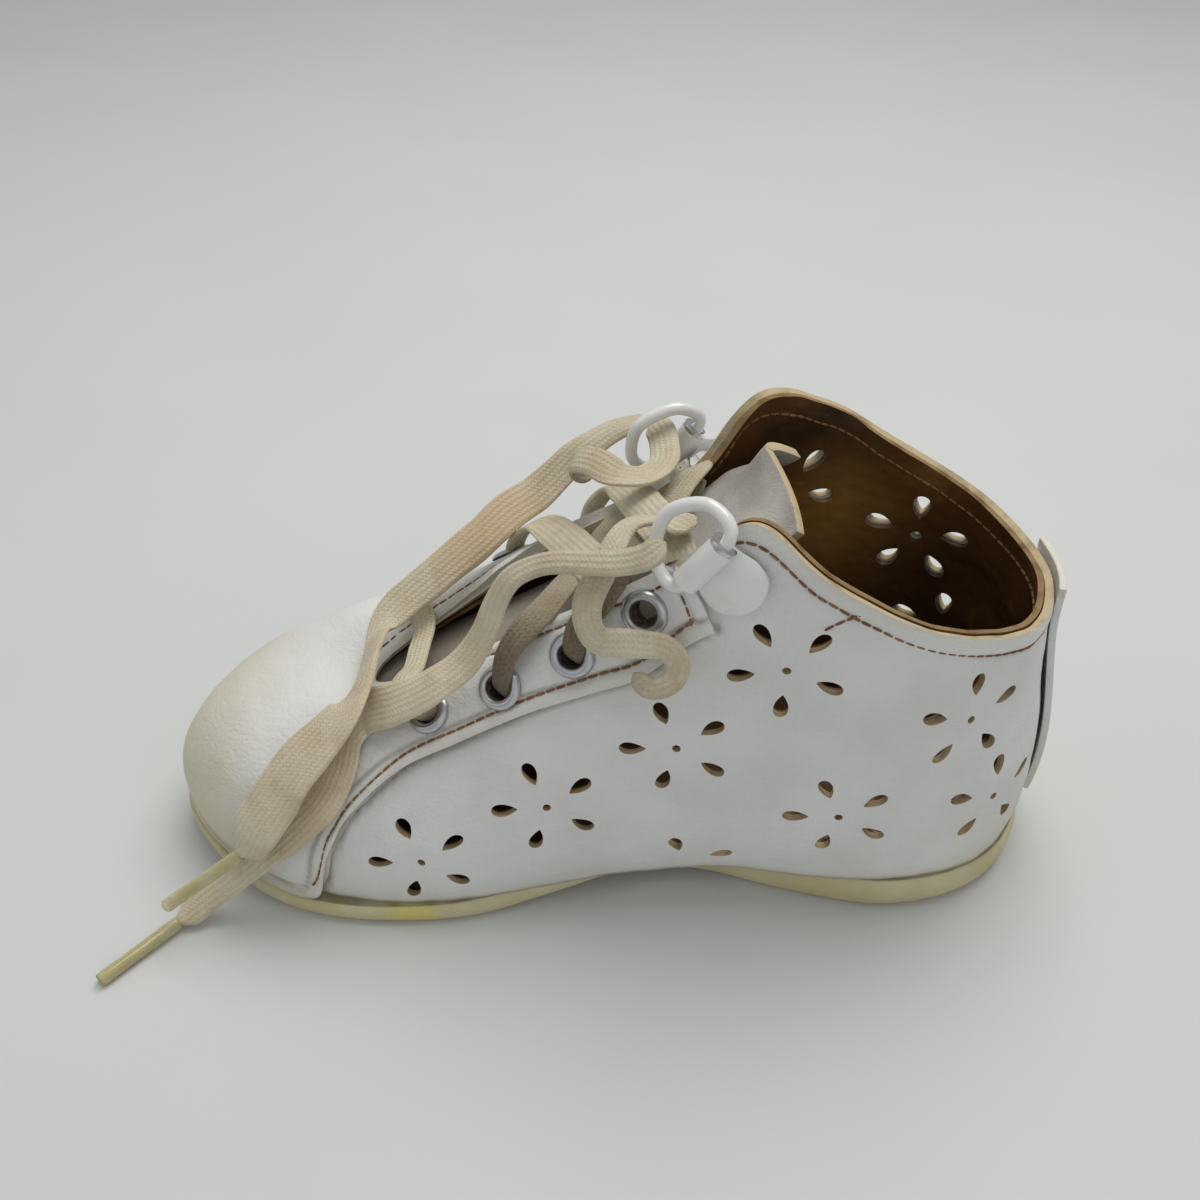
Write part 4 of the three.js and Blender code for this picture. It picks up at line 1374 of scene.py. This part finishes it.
    def sew(self) -> None:
        """Stitch the collar, the seam, the throat and the lining."""
        last = self.shoe.last
        s = np.linspace(0, 1, 900)
        u, v = self.inset(Edge.COLLAR, self.collar_row, s)
        open_ = (u < self.open_from) | (u > TURN - self.open_from)
        front = np.roll(np.arange(len(s)), -int(np.argmax(u > TURN - self.open_from)))
        order = front[open_[front]]
        u, v = u[order], v[order]
        out, rise = last.normal(u, v), self.relief(last.face(u, v))
        outer = last.leather(u, v, rise - self.sunk)
        self.stitches("collar_stitches", [outer], [out])
        inner = last.leather(u, v, rise - self.quarter - self.lining - 0.14)
        self.stitches("lining_stitches", [inner], [-out])
        rows, lifts = [], []
        runs = (
            (Edge.SEAM, self.seam_row, (0.012, 0.396)),
            (Edge.SEAM, self.seam_row, (0.604, 0.988)),
            (Edge.THROAT, self.throat_row, (0.012, 0.988)),
        )
        for edge, away, (start, end) in runs:
            u, v = self.inset(edge, away, np.linspace(start, end, 900))
            rows.append(last.leather(u, v, self.step - self.sunk + self.relief(last.face(u, v))))
            lifts.append(last.normal(u, v))
        for end in (0.014, 0.986):
            t = np.linspace(0.1, 0.94, 60)
            u, v = self.vamp_at(end + 0 * t, t)
            rows.append(last.leather(u, v, self.step - self.sunk + self.relief(last.face(u, v))))
            lifts.append(last.normal(u, v))
        self.stitches("vamp_stitches", rows, lifts)
        diagonal = along(((2.62, 0.985), (2.8, 0.93), (2.95, 0.875)), np.linspace(0, 1, 30))
        line = last.face(diagonal[:, 0], diagonal[:, 1])
        line = last.leather(diagonal[:, 0], diagonal[:, 1], 0.05 + self.relief(line))
        self.stitches("mend_stitches", [line], [last.normal(diagonal[:, 0], diagonal[:, 1])], 0.19)


@dataclass
class Tongue:
    """Leather tongue, flesh side out, its far top corner curled back."""

    shoe: Shoe
    thickness: float = 1.3
    arch: float = 0.02
    line: tuple[Triple, ...] = (
        (-42, 22.4, 15), (-34, 26.0, 17), (-23, 31.4, 17.5), (-9, 39.2, 18), (3, 47.2, 19),
        (12, 54.6, 20), (17, 59.8, 20), (20.3, 64.2, 19),
    )

    def top(self, s: Array, t: Array) -> Array:
        """Upper side of the sheet."""
        row = along(self.line, s)
        lane = 2 * t - 1
        across = lane * row[:, 2] / 2
        points = np.stack([row[:, 0], across, row[:, 1] - self.arch * across**2 - 0.3], axis=1)
        high = smoothstep(s, 0.8, 1.0)
        curl, slump = high * smoothstep(lane, 0.3, 1.0), high * smoothstep(lane, 0.6, -1.0)
        hump = high * np.exp(-(((lane - 0.62) / 0.4) ** 2))
        points += curl[:, None] * np.array([4.6, -1.6, -1.4])
        points += slump[:, None] * np.array([2.4, 0.0, -1.2])
        points += hump[:, None] * np.array([-1.2, 0.0, 1.6])
        fold = 0.5 * np.sin(9 * s + 2 * lane) * smoothstep(s, 0.3, 0.7)
        points[:, 2] += fold * 0.25
        return points

    def build(self) -> None:
        """Make the tongue with its raw edge."""

        def soil(s: Array, t: Array) -> Array:
            """Darker towards the part inside the shoe and along both edges."""
            return 0.75 * smoothstep(s, 0.75, 0.3) + 0.2 * smoothstep(np.abs(t - 0.5), 0.2, 0.5)

        def toward(s: Array, t: Array) -> Array:
            """Up and ahead, where the side that shows looks."""
            return np.array([[-0.6, 0, 0.8]]) + 0 * s[:, None]

        sheet = Bench.patch("tongue_sheet", 110, 44, self.top, toward, {"soil": soil})
        Bench.dress(sheet, FleshSide().make(), self.shoe.raw)
        Bench.thicken(sheet, self.thickness, 1)
        Bench.apply(sheet, "BEVEL", width=0.15 * MM, segments=2)
        Bench.smooth(sheet, 45)
        self.shoe.add(sheet, Slot.TONGUE_LEATHER, ["tongue"])


@dataclass(frozen=True)
class ClipSeat:
    """Place of a ring clip, its axis, its rear and outward directions, and its ring's lean."""

    place: Array
    axis: Array
    rear: Array
    out: Array
    lean: Array


@dataclass
class Fittings:
    """Eyelets, and the enamelled clips with the rings that they hold."""

    shoe: Shoe
    seat: float = 1.48
    rim: tuple[tuple[float, float], ...] = (
        (1.75, -2.6), (1.75, 0.1), (1.95, 0.55), (2.4, 0.76), (2.85, 0.6), (3.13, 0.2), (3.05, 0.0),
        (2.15, -0.05), (2.15, -2.6),
    )
    outline: tuple[tuple[float, float], ...] = (
        (-4.3, 0), (0, 0), (4.3, 0), (5.7, 1.9), (4.56, 5.32), (0, 7.6), (-4.56, 5.32), (-5.7, 1.9),
    )
    wire: float = 0.9
    tube: float = 1.95
    tube_ahead: float = 4.1
    plate: float = 1.3

    def seats(self) -> dict[Side, ClipSeat]:
        """Seat of the clip on each side."""
        found = {}
        for side, at, height, lean in (
            (Side.NEAR, (3.98, 0.86), 0.35, (-0.56, 0.69, 0.46)),
            (Side.FAR, (13.8, 0.78), 1.9, (-0.75, -0.25, 0.61)),
        ):
            place, (_, _, out) = self.shoe.last.axes(*at, height)
            axis = np.array([0.6, 0, 0.8])
            axis = unit(axis - out * (axis @ out))
            rear = np.cross(axis, out)
            rear = rear * np.sign(rear[0])
            tilt = np.array(lean)
            tilt = unit(tilt - axis * (tilt @ axis))
            found[side] = ClipSeat(place, axis, rear, out, tilt)
        return found

    def build(self) -> None:
        """Make all eyelets, clips and rings."""
        metal = DullAluminium().make()
        for number, (at, v) in enumerate(EYELETS, 1):
            for side, u in zip(Side, both(at)):
                self.eyelet(f"eyelet_{side.value}_{number}", u, v, metal)
        enamel = WhiteEnamel().make()
        for side, seat in self.seats().items():
            self.clip(f"ring_clip_{side.value}", seat, enamel)
            self.ring(f"ring_{side.value}", seat, enamel)

    def eyelet(self, node: str, u: float, v: float, metal: bpy.types.Material) -> None:
        """One rolled eyelet, slightly out of round."""
        place, axes = self.shoe.last.axes(u, v, self.seat)

        def shape(s: Array, t: Array) -> Array:
            """Points round the eyelet and round its rolled section."""
            section = curve(self.rim, t * len(self.rim) % len(self.rim), True)
            angle = 2 * np.pi * s
            ring = section[:, :1] * np.stack([np.cos(angle), 0.97 * np.sin(angle)], axis=1)
            return place + np.concatenate([ring, section[:, 1:]], axis=1) @ axes

        def soil(s: Array, t: Array) -> Array:
            """Dirt in the bore and under the rim."""
            section = curve(self.rim, t * len(self.rim) % len(self.rim), True)
            return np.maximum(smoothstep(section[:, 0], 2.05, 1.8), smoothstep(section[:, 1], 0.25, 0.0))

        rim = Bench.patch(node + "_rolled", 40, 36, shape, marks={"soil": soil})
        Bench.smooth(rim, 60)
        self.shoe.add(rim, Slot.ALUMINIUM, [node], metal)

    def clip(self, node: str, at: ClipSeat, enamel: bpy.types.Material) -> None:
        """Plate with a round lobe, rolled at its front into a tube."""
        flat = self.plate / 2
        lobe, roll = 4.1, self.tube - flat
        turns = np.radians(np.linspace(-90, -385, 15))
        bends = np.radians(np.linspace(88, 0, 9))
        path = [(lobe * math.sin(a), flat) for a in bends] + [(-1.4, flat), (-2.9, flat)]
        path += [(-self.tube_ahead + roll * math.cos(a), self.tube + roll * math.sin(a)) for a in turns]
        halves = [lobe * math.cos(a) ** 0.7 for a in bends] + [3.8, 3.4, 3.5] + [3.7] * (len(turns) - 1)

        def shape(s: Array, t: Array) -> Array:
            """Middle of the plate, domed over the lobe."""
            line = along(path, t)
            side = (2 * s - 1) * np.clip(along(halves, t), 0.3, 4.1)
            dome = 0.8 * np.clip(1 - (line[:, 0] ** 2 + side**2) / lobe**2, 0, 1) * (t < 0.4)
            rise = line[:, 1] + dome
            return at.place + side[:, None] * at.axis + line[:, :1] * at.rear + rise[:, None] * at.out

        def worn(s: Array, t: Array) -> Array:
            """Bare metal at the upper end of the tube."""
            return smoothstep(t, 0.35, 0.5) * smoothstep(s, 0.86, 0.97)

        def toward(s: Array, t: Array) -> Array:
            """Away from the leather."""
            return at.out + 0 * s[:, None]

        plate = Bench.patch(node + "_plate", 30, 90, shape, toward, {"bare": worn})
        Bench.apply(plate, "SOLIDIFY", thickness=1.0 * MM, offset=0)
        sharp = math.radians(50)
        Bench.apply(plate, "BEVEL", width=0.3 * MM, segments=3, limit_method="ANGLE", angle_limit=sharp)
        Bench.outward(plate)
        Bench.smooth(plate, 60)
        self.shoe.add(plate, Slot.ENAMEL, [node], enamel)

    def ring(self, node: str, at: ClipSeat, enamel: bpy.types.Material) -> None:
        """D-shaped wire ring through the clip's tube."""
        middle = at.place - self.tube_ahead * at.rear + self.tube * at.out
        loop = [middle + a * at.axis + b * at.lean for a, b in self.outline]
        flat = np.cross(at.axis, at.lean)

        def shape(s: Array, t: Array) -> Array:
            """Points along the wire and round it."""
            share = s * len(loop) % len(loop)
            ahead, behind = (curve(loop, (share + step) % len(loop), True) for step in (0.02, -0.02))
            run = unit(ahead - behind)
            side = np.cross(run, flat)
            angle = 2 * np.pi * t[:, None]
            return curve(loop, share, True) + self.wire * (np.cos(angle) * flat + np.sin(angle) * side)

        wire = Bench.patch(node + "_wire", 110, 16, shape, marks={"bare": lambda s, t: 0.12 + 0 * s})
        Bench.smooth(wire, 60)
        self.shoe.add(wire, Slot.ENAMEL, [node], enamel)


@dataclass(frozen=True)
class Run:
    """One stretch of lace: middle line, the way its broad side looks, and widths, soil and rust along it."""

    name: str
    route: tuple[Triple, ...]
    faces: tuple[Triple, ...]
    widths: tuple[float, ...]
    soil: tuple[float, ...] = (0.0, 0.0)
    rust: tuple[float, ...] = (0.0, 0.0)
    far_end: str = "object"
    gauge: float = 6.0


LOOSE_RUNS = (
    Run(
        "lace_loop_near",
        (
            (10, -10.2, 61.6), (7, -7.2, 60.6), (2.4, -8.2, 60.6), (-0.6, -12.6, 58.6),
            (-3, -16.2, 54.4), (-1.8, -18.6, 51.2), (2.6, -18.9, 50.8), (6.6, -19.6, 50.8),
            (8.2, -20.4, 48.8), (7.4, -21.2, 46.4), (4.8, -21.4, 45.6), (2.8, -20.4, 47.4),
        ),
        ((-0.6, 0.6, 0.5), (-0.5, 0, 0.8), (-0.5, -0.7, 0.4), (-0.3, -0.8, 0.4), (-0.3, -0.9, 0.4)),
        widths=(4.0, 4.0, 4.2, 4.4, 4.2, 3.8, 3.4, 3.0, 2.6),
        soil=(0.25, 0.15, 0.15, 0.3, 0.2, 0.15, 0.2, 0.5),
        gauge=4.4,
    ),
    Run(
        "lace_loop_far",
        (
            (5.6, 18.4, 58.7), (6.8, 15.6, 58.9), (7.2, 12.6, 58.6), (7, 9, 58.2), (4.6, 6.2, 57.8),
            (1, 6, 58.2), (-2.2, 8.4, 58.6), (-4.6, 10.6, 57.6), (-4.8, 11.8, 55.4), (-2.4, 12.4, 53.8),
        ),
        ((-0.4, -0.4, 0.8), (-0.4, -0.3, 0.8), (-0.3, 0, 0.9), (-0.8, 0.3, 0.4), (-0.5, 0.3, -0.6)),
        widths=(4.0, 4.4, 4.6, 4.6, 4.4, 4.0),
        soil=(0.3, 0.2, 0.15, 0.2, 0.35, 0.5),
        gauge=4.8,
    ),
    Run(
        "lace_end_near",
        (
            (6.4, -15.9, 64.2), (4.2, -16.4, 62.4), (1.1, -15.4, 60.6), (-2.6, -14, 59.4),
            (-6.2, -12.9, 58.6), (-9.1, -12.4, 57.6), (-12.2, -12.6, 55.8), (-14.3, -12.9, 52.2),
            (-16.1, -13.2, 46.8), (-19.3, -13.8, 42), (-23.8, -14.6, 38.6), (-29, -13.8, 34.6),
            (-33.7, -11.9, 30.8), (-36.4, -14, 28.5), (-37.5, -17.7, 25.7), (-39.6, -20.2, 22.3),
            (-44.2, -21.8, 17.7), (-48.9, -22.3, 13), (-53.9, -22.4, 7.5), (-58.6, -23.4, 3.4),
            (-62.1, -25.4, 1.2),
        ),
        (
            (-0.6, -0.5, 0.5), (-0.3, -0.5, 0.8), (-0.2, -0.6, 0.8), (-0.7, -0.5, 0.5),
            (-0.5, -0.5, 0.7), (-0.3, -0.5, 0.8), (-0.3, -0.7, 0.6), (-0.4, -0.8, 0.4),
            (-0.2, -0.2, 0.9),
        ),
        widths=(3.6, 3.2, 2.9, 3.3, 4.6, 5.2, 6.2, 6.6, 6.4, 5.8, 4.8, 4.2, 4.4),
        soil=(0.4, 0.2, 0.3, 0.15, 0.1, 0.05, 0.15, 0.1, 0.05, 0.1, 0.15, 0.1, 0.3),
        rust=(0, 0, 0.2, 0, 0, 0.3, 0.1, 0.2, 0.5, 0.4, 0.2, 0.1, 0),
        far_end="fitting",
    ),
    Run(
        "lace_end_far",
        (
            (5.4, 18.8, 58.8), (3.2, 19.2, 58), (-0.6, 18.9, 56.4), (-4.6, 18, 53.8), (-8.2, 17.2, 50),
            (-11.2, 16, 47.6), (-14.7, 13.6, 46.4), (-18.9, 9.8, 44.4), (-24.7, 6.4, 40.8),
            (-30, 4.2, 36.8), (-32.9, 1.6, 34.4), (-33.5, -3, 34.2), (-33.9, -9.4, 34.8),
            (-35.3, -14, 33.8), (-37.9, -16, 31.2), (-42, -18.4, 27.4), (-45.5, -21, 23.2),
            (-48.7, -22.7, 18.8), (-51.1, -23.2, 14.6),
        ),
        (
            (-0.2, 0.2, 0.9), (-0.2, -0.5, 0.8), (-0.2, -0.7, 0.7), (-0.3, -0.7, 0.6),
            (-0.5, -0.6, 0.6), (-0.8, -0.1, 0.6), (-0.5, -0.5, 0.7), (-0.3, -0.7, 0.6),
            (-0.4, -0.8, 0.4),
        ),
        widths=(4.2, 4.6, 5.2, 5.8, 5.8, 5.6, 5.4, 5.0, 5.8, 7.0, 7.4, 7.4, 5.6),
        soil=(0.3, 0.15, 0.1, 0.05, 0.05, 0.1, 0.1, 0.15, 0.1, 0.05, 0.1, 0.1, 0.3),
        rust=(0, 0, 0.1, 0.8, 0.9, 0.3, 0.1, 0.2, 0.4, 0.4, 0.3, 0.1, 0),
        far_end="fitting",
    ),
)
TIPS = {
    "lace_end_near": ("aglet_near", (-62.6, -25.9, 1.1), (-70.6, -34.9, 1.05)),
    "lace_end_far": ("aglet_far", (-51.6, -23.5, 14.1), (-62.3, -26.6, 6.8)),
}


@dataclass
class Lace:
    """Flat cotton lace: bar and crossings in the eyelets, two slack loops and two tipped free ends."""

    shoe: Shoe
    thickness: float = 1.1
    tip: float = 0.98
    core: float = 0.55
    sunk: float = 1.3
    square: float = 0.6

    def build(self) -> None:
        """Make the free cords first, then the lacing that the eyelets hold."""
        cotton, plastic = LaceCotton().make(), YellowPlastic().make()
        for run in LOOSE_RUNS:
            strip = self.ribbon(run)
            self.shoe.add(strip, Slot.COTTON, [run.name], cotton)
            if run.name in TIPS:
                self.aglet(*TIPS[run.name], plastic)
            path = Path(run.route)
            tuple(MM * x for x in run.route[0])
            run.gauge * MM
            [tuple(MM * p) for p in path.at(np.linspace(0, 1, 80))]
        bar = self.ribbon(self.bar())
        self.shoe.add(bar, Slot.COTTON, ["lace_bar"], cotton)
        strands = [self.ribbon(run) for run in self.crossings()]
        self.shoe.add(Bench.join("lace_strands", strands), Slot.COTTON, ["lace_crossings"], cotton)

    def bar(self) -> Run:
        """Straight strip over both eyestays at the first pair of eyelets."""
        last = self.shoe.last
        points = []
        for u, order in zip(both(EYELETS[0][0]), (1, -1)):
            v = EYELETS[0][1]
            rises = (
                (0, v, -2.6),
                (0, v, 1.2),
                (0.15, v + 0.04, 3.3),
                (0.36, v + 0.12, 3.4),
                (0.52, 1.0, 2.8),
            )
            spots = [(u + order * ahead, a, h) for ahead, a, h in rises]
            line = [last.leather(np.array([a]), np.array([b]), h)[0] for a, b, h in spots]
            points += [tuple(point) for point in line][::order]
        middle = (np.array(points[4]) + np.array(points[5])) / 2
        points.insert(5, tuple(middle - np.array([0, 0, 0.5])))
        faces = ((0.2, -0.9, -0.2), (-0.4, -0.3, 0.8), (-0.5, 0, 0.85), (-0.4, 0.3, 0.8), (0.2, 0.9, -0.2))
        widths = (3.0, 3.6, 3.9, 3.8, 3.8, 3.9, 3.4, 3.0)
        return Run("lace_front_bar", tuple(points), faces, widths, (0.5, 0.1, 0.1, 0.4))

    def crossings(self) -> list[Run]:
        """Strips that come up through one eyelet and pass under the other eyestay."""
        near, far = Side.NEAR, Side.FAR
        plan = (
            (near, 1, 2, (1.0, 0.85, 0.6, 0.3, 0.2)),
            (near, 2, 3, (1.0, 0.9, 0.8, 0.4, 0.2)),
            (far, 1, 2, (0.6, 0.25, 0.2, 0.3, 0.5)),
            (far, 2, 3, (0.6, 0.2, 0.15, 0.2, 0.4)),
        )
        runs = []
        for number, (side, start, end, soil) in enumerate(plan):
            u0, v0 = EYELETS[start]
            u1 = EYELETS[end][0]
            flip = 1 if side is near else -1
            u0, u1 = (u0, TURN - u1) if side is near else (TURN - u0, u1)
            last = self.shoe.last
            rises = (
                (u0, v0, -2.8),
                (u0, v0, 0.9),
                (u0 - 0.02 * flip, 0.55 * v0 + 0.45, 3.5),
                (u0 - 0.1 * flip, 1.0, 3.0),
            )
            ends = ((u1 + 0.1 * flip, 1.0, -0.5), (u1, 0.93, -3.2))
            points = [last.leather(np.array([u]), np.array([v]), h)[0] for u, v, h in rises + ends]
            middle = (points[3] + points[4]) / 2 + np.array([0, 0, 0.5 * number])
            points.insert(4, middle)
            away = unit(points[1] - points[3])
            faces = (
                tuple(away),
                tuple(last.normal(np.array([u0]), np.array([0.9]))[0]),
                (-0.5, 0.0, 0.8),
                (-0.5, 0.1 * flip, 0.8),
                (-0.5, -0.2 * flip, 0.8),
            )
            route = tuple(tuple(p) for p in points)
            runs.append(Run(f"lace_strand_{number}", route, faces, (3.2, 3.5, 5.2, 5.6, 5.2, 4.6), soil))
        return runs

    def neck(self, run: Run) -> tuple[Triple, ...]:
        """Where a free end's strip reaches inside its tip, or nothing for the other runs."""
        if run.name not in TIPS:
            return ()
        start, end = (np.array(place) for place in TIPS[run.name][1:])
        return (tuple(start + self.sunk * unit(end - start)),)

    def ribbon(self, run: Run) -> bpy.types.Object:
        """One strip of lace along its run, cupped and slightly wavy.

        Args:
            run: Its line, widths and marks.
        Returns:
            The closed strip, mapped in millimetres.
        """
        path = Path(run.route + self.neck(run))
        seed = len(run.name) + 3.0 * run.route[0][0]

        def half(s: Array) -> Array:
            """Half width along the strip, with a worn, wavy edge."""
            wide = along(run.widths, s) / 2 * (1 + 0.015 * np.sin(s * path.length * 0.9 + seed))
            if run.name not in TIPS:
                return wide
            free = smoothstep((1 - s) * path.length, self.sunk, 3 * self.sunk)
            return self.core + (wide - self.core) * free

        def place(s: Array, t: Array) -> Array:
            """Points along the strip and round its section."""
            run_on = path.tangent(s)
            look = along(run.faces, s)
            look = unit(look - run_on * (look * run_on).sum(axis=1, keepdims=True))
            side = np.cross(run_on, look)
            turn = 2 * np.pi * t
            close = np.sqrt(np.clip(np.minimum(s, 1 - s) * path.length / 1.6, 0, 1))
            flat = squarer(np.cos(turn), self.square)
            slim = np.minimum(self.thickness / 2 * (1 + 0.6 * smoothstep(half(s), 2.0, 1.0)), half(s))
            reach = s * path.length
            cup = 0.3 * np.sin(reach * 0.23 + seed) * flat**2
            cup = cup + 0.12 * np.sin(reach * 0.6 + 2 * flat + seed) * flat
            rise = slim * squarer(np.sin(turn), 0.75) + cup * smoothstep(half(s), 1.4, 2.4)
            return path.at(s) + close[:, None] * ((half(s) * flat)[:, None] * side + rise[:, None] * look)

        marks = {
            "soil": lambda s, t: np.clip(along(run.soil, s), 0, 1),
            "rust": lambda s, t: np.clip(along(run.rust, s), 0, 1),
        }
        strip = Bench.patch(run.name + "_strip", int(path.length * 1.5), 28, place, marks=marks)
        sheet = strip.data.uv_layers.active.data
        flat = np.empty(len(sheet) * 2, np.float32)
        sheet.foreach_get("uv", flat)
        s, t = flat.reshape(-1, 2).astype(float).T
        across = half(s) * squarer(np.cos(2 * np.pi * t), self.square)
        sheet.foreach_set("uv", np.stack([s * path.length, across], axis=1).astype(np.float32).ravel())
        Bench.smooth(strip, 60)
        return strip

    def aglet(self, node: str, start: Triple, end: Triple, plastic: bpy.types.Material) -> bpy.types.Object:
        """Clear tube over the lace's tip, open at its end."""
        begin, finish = np.array(start), np.array(end)
        run = unit(finish - begin)
        side = unit(np.cross(run, [0.0, 0.0, 1.0]))
        up = np.cross(side, run)
        span = float(np.linalg.norm(finish - begin))
        outer = [(share, 1.0) for share in (0, 0.25, 0.5, 0.75, 1)]
        section = np.array(outer + [(share, 0.68) for share in (1, 0.75, 0.5, 0.25, 0)])

        def shape(s: Array, t: Array) -> Array:
            """Points round the tube's wall and round its run."""
            wall = curve(section, t * len(section) % len(section), True)
            angle = 2 * np.pi * s
            dent = 1 + 0.03 * np.sin(2 * angle + 5 * wall[:, 0])
            spread = (self.tip * wall[:, 1] * dent)[:, None]
            ring = np.cos(angle)[:, None] * side + np.sin(angle)[:, None] * up
            return begin + run * (span * wall[:, :1]) + spread * ring

        tube = Bench.patch(node + "_tube", 28, 54, shape)
        Bench.smooth(tube, 50)
        self.shoe.add(tube, Slot.PLASTIC, [node], plastic)
        return tube


@dataclass
class Studio:
    """Camera at the photo's angle, pale floor and soft light from above and behind."""

    eye: Triple = (-0.22, -126.1, 151.0)
    aim: Triple = (-1.607, 13.05, 30.0)
    lens: float = 36.09
    ambient: float = 0.36

    def build(self) -> None:
        """Set up everything round the shoe."""
        scene = bpy.context.scene
        data = bpy.data.cameras.new("camera")
        data.lens, data.sensor_width, data.clip_start = self.lens, 36.0, 0.005
        camera = bpy.data.objects.new("camera", data)
        camera.location = Vector(self.eye) * MM
        camera.rotation_euler = (Vector(self.aim) - Vector(self.eye)).to_track_quat("-Z", "Y").to_euler()
        scene.collection.objects.link(camera)
        scene.camera = camera
        scene.view_settings.view_transform = "Standard"
        world = bpy.data.worlds.new("soft room")
        world.use_nodes = True
        background = world.node_tree.nodes["Background"]
        background.inputs["Color"].default_value = (0.97, 0.99, 1.0, 1.0)
        background.inputs["Strength"].default_value = self.ambient
        scene.world = world
        Bench.clear()
        bpy.ops.mesh.primitive_plane_add(size=4.0)
        floor = bpy.context.object
        floor.name = "floor"
        Bench.dress(floor, PaleFloor().make())
        self.lamp("key", (90, 170, 560), 0.4, 2.1, (1.0, 0.98, 0.95))
        self.lamp("left", (-420, -60, 360), 0.5, 0.25, (0.95, 0.98, 1.0))
        self.lamp("front", (160, -460, 300), 0.6, 0.3, (1.0, 0.99, 0.97))

    def lamp(self, name: str, place: Triple, size: float, power: float, tint: Triple) -> None:
        """Square soft light aimed at the shoe."""
        data = bpy.data.lights.new(name, "AREA")
        data.size, data.energy, data.color = size, power, tint
        lamp = bpy.data.objects.new(name, data)
        lamp.location = Vector(place) * MM
        lamp.rotation_euler = (Vector((0, 0, 25)) - Vector(place)).to_track_quat("-Z", "Y").to_euler()
        bpy.context.scene.collection.objects.link(lamp)


def main() -> None:
    """Build the shoe piece by piece."""
    logging.basicConfig(level=logging.INFO, format="%(message)s")
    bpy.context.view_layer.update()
    Studio().build()
    shoe = Shoe()
    Lace(shoe).build()
    Sole(shoe).build()
    Upper(shoe).build()
    Tongue(shoe).build()
    Fittings(shoe).build()


if __name__ == "__main__":
    main()
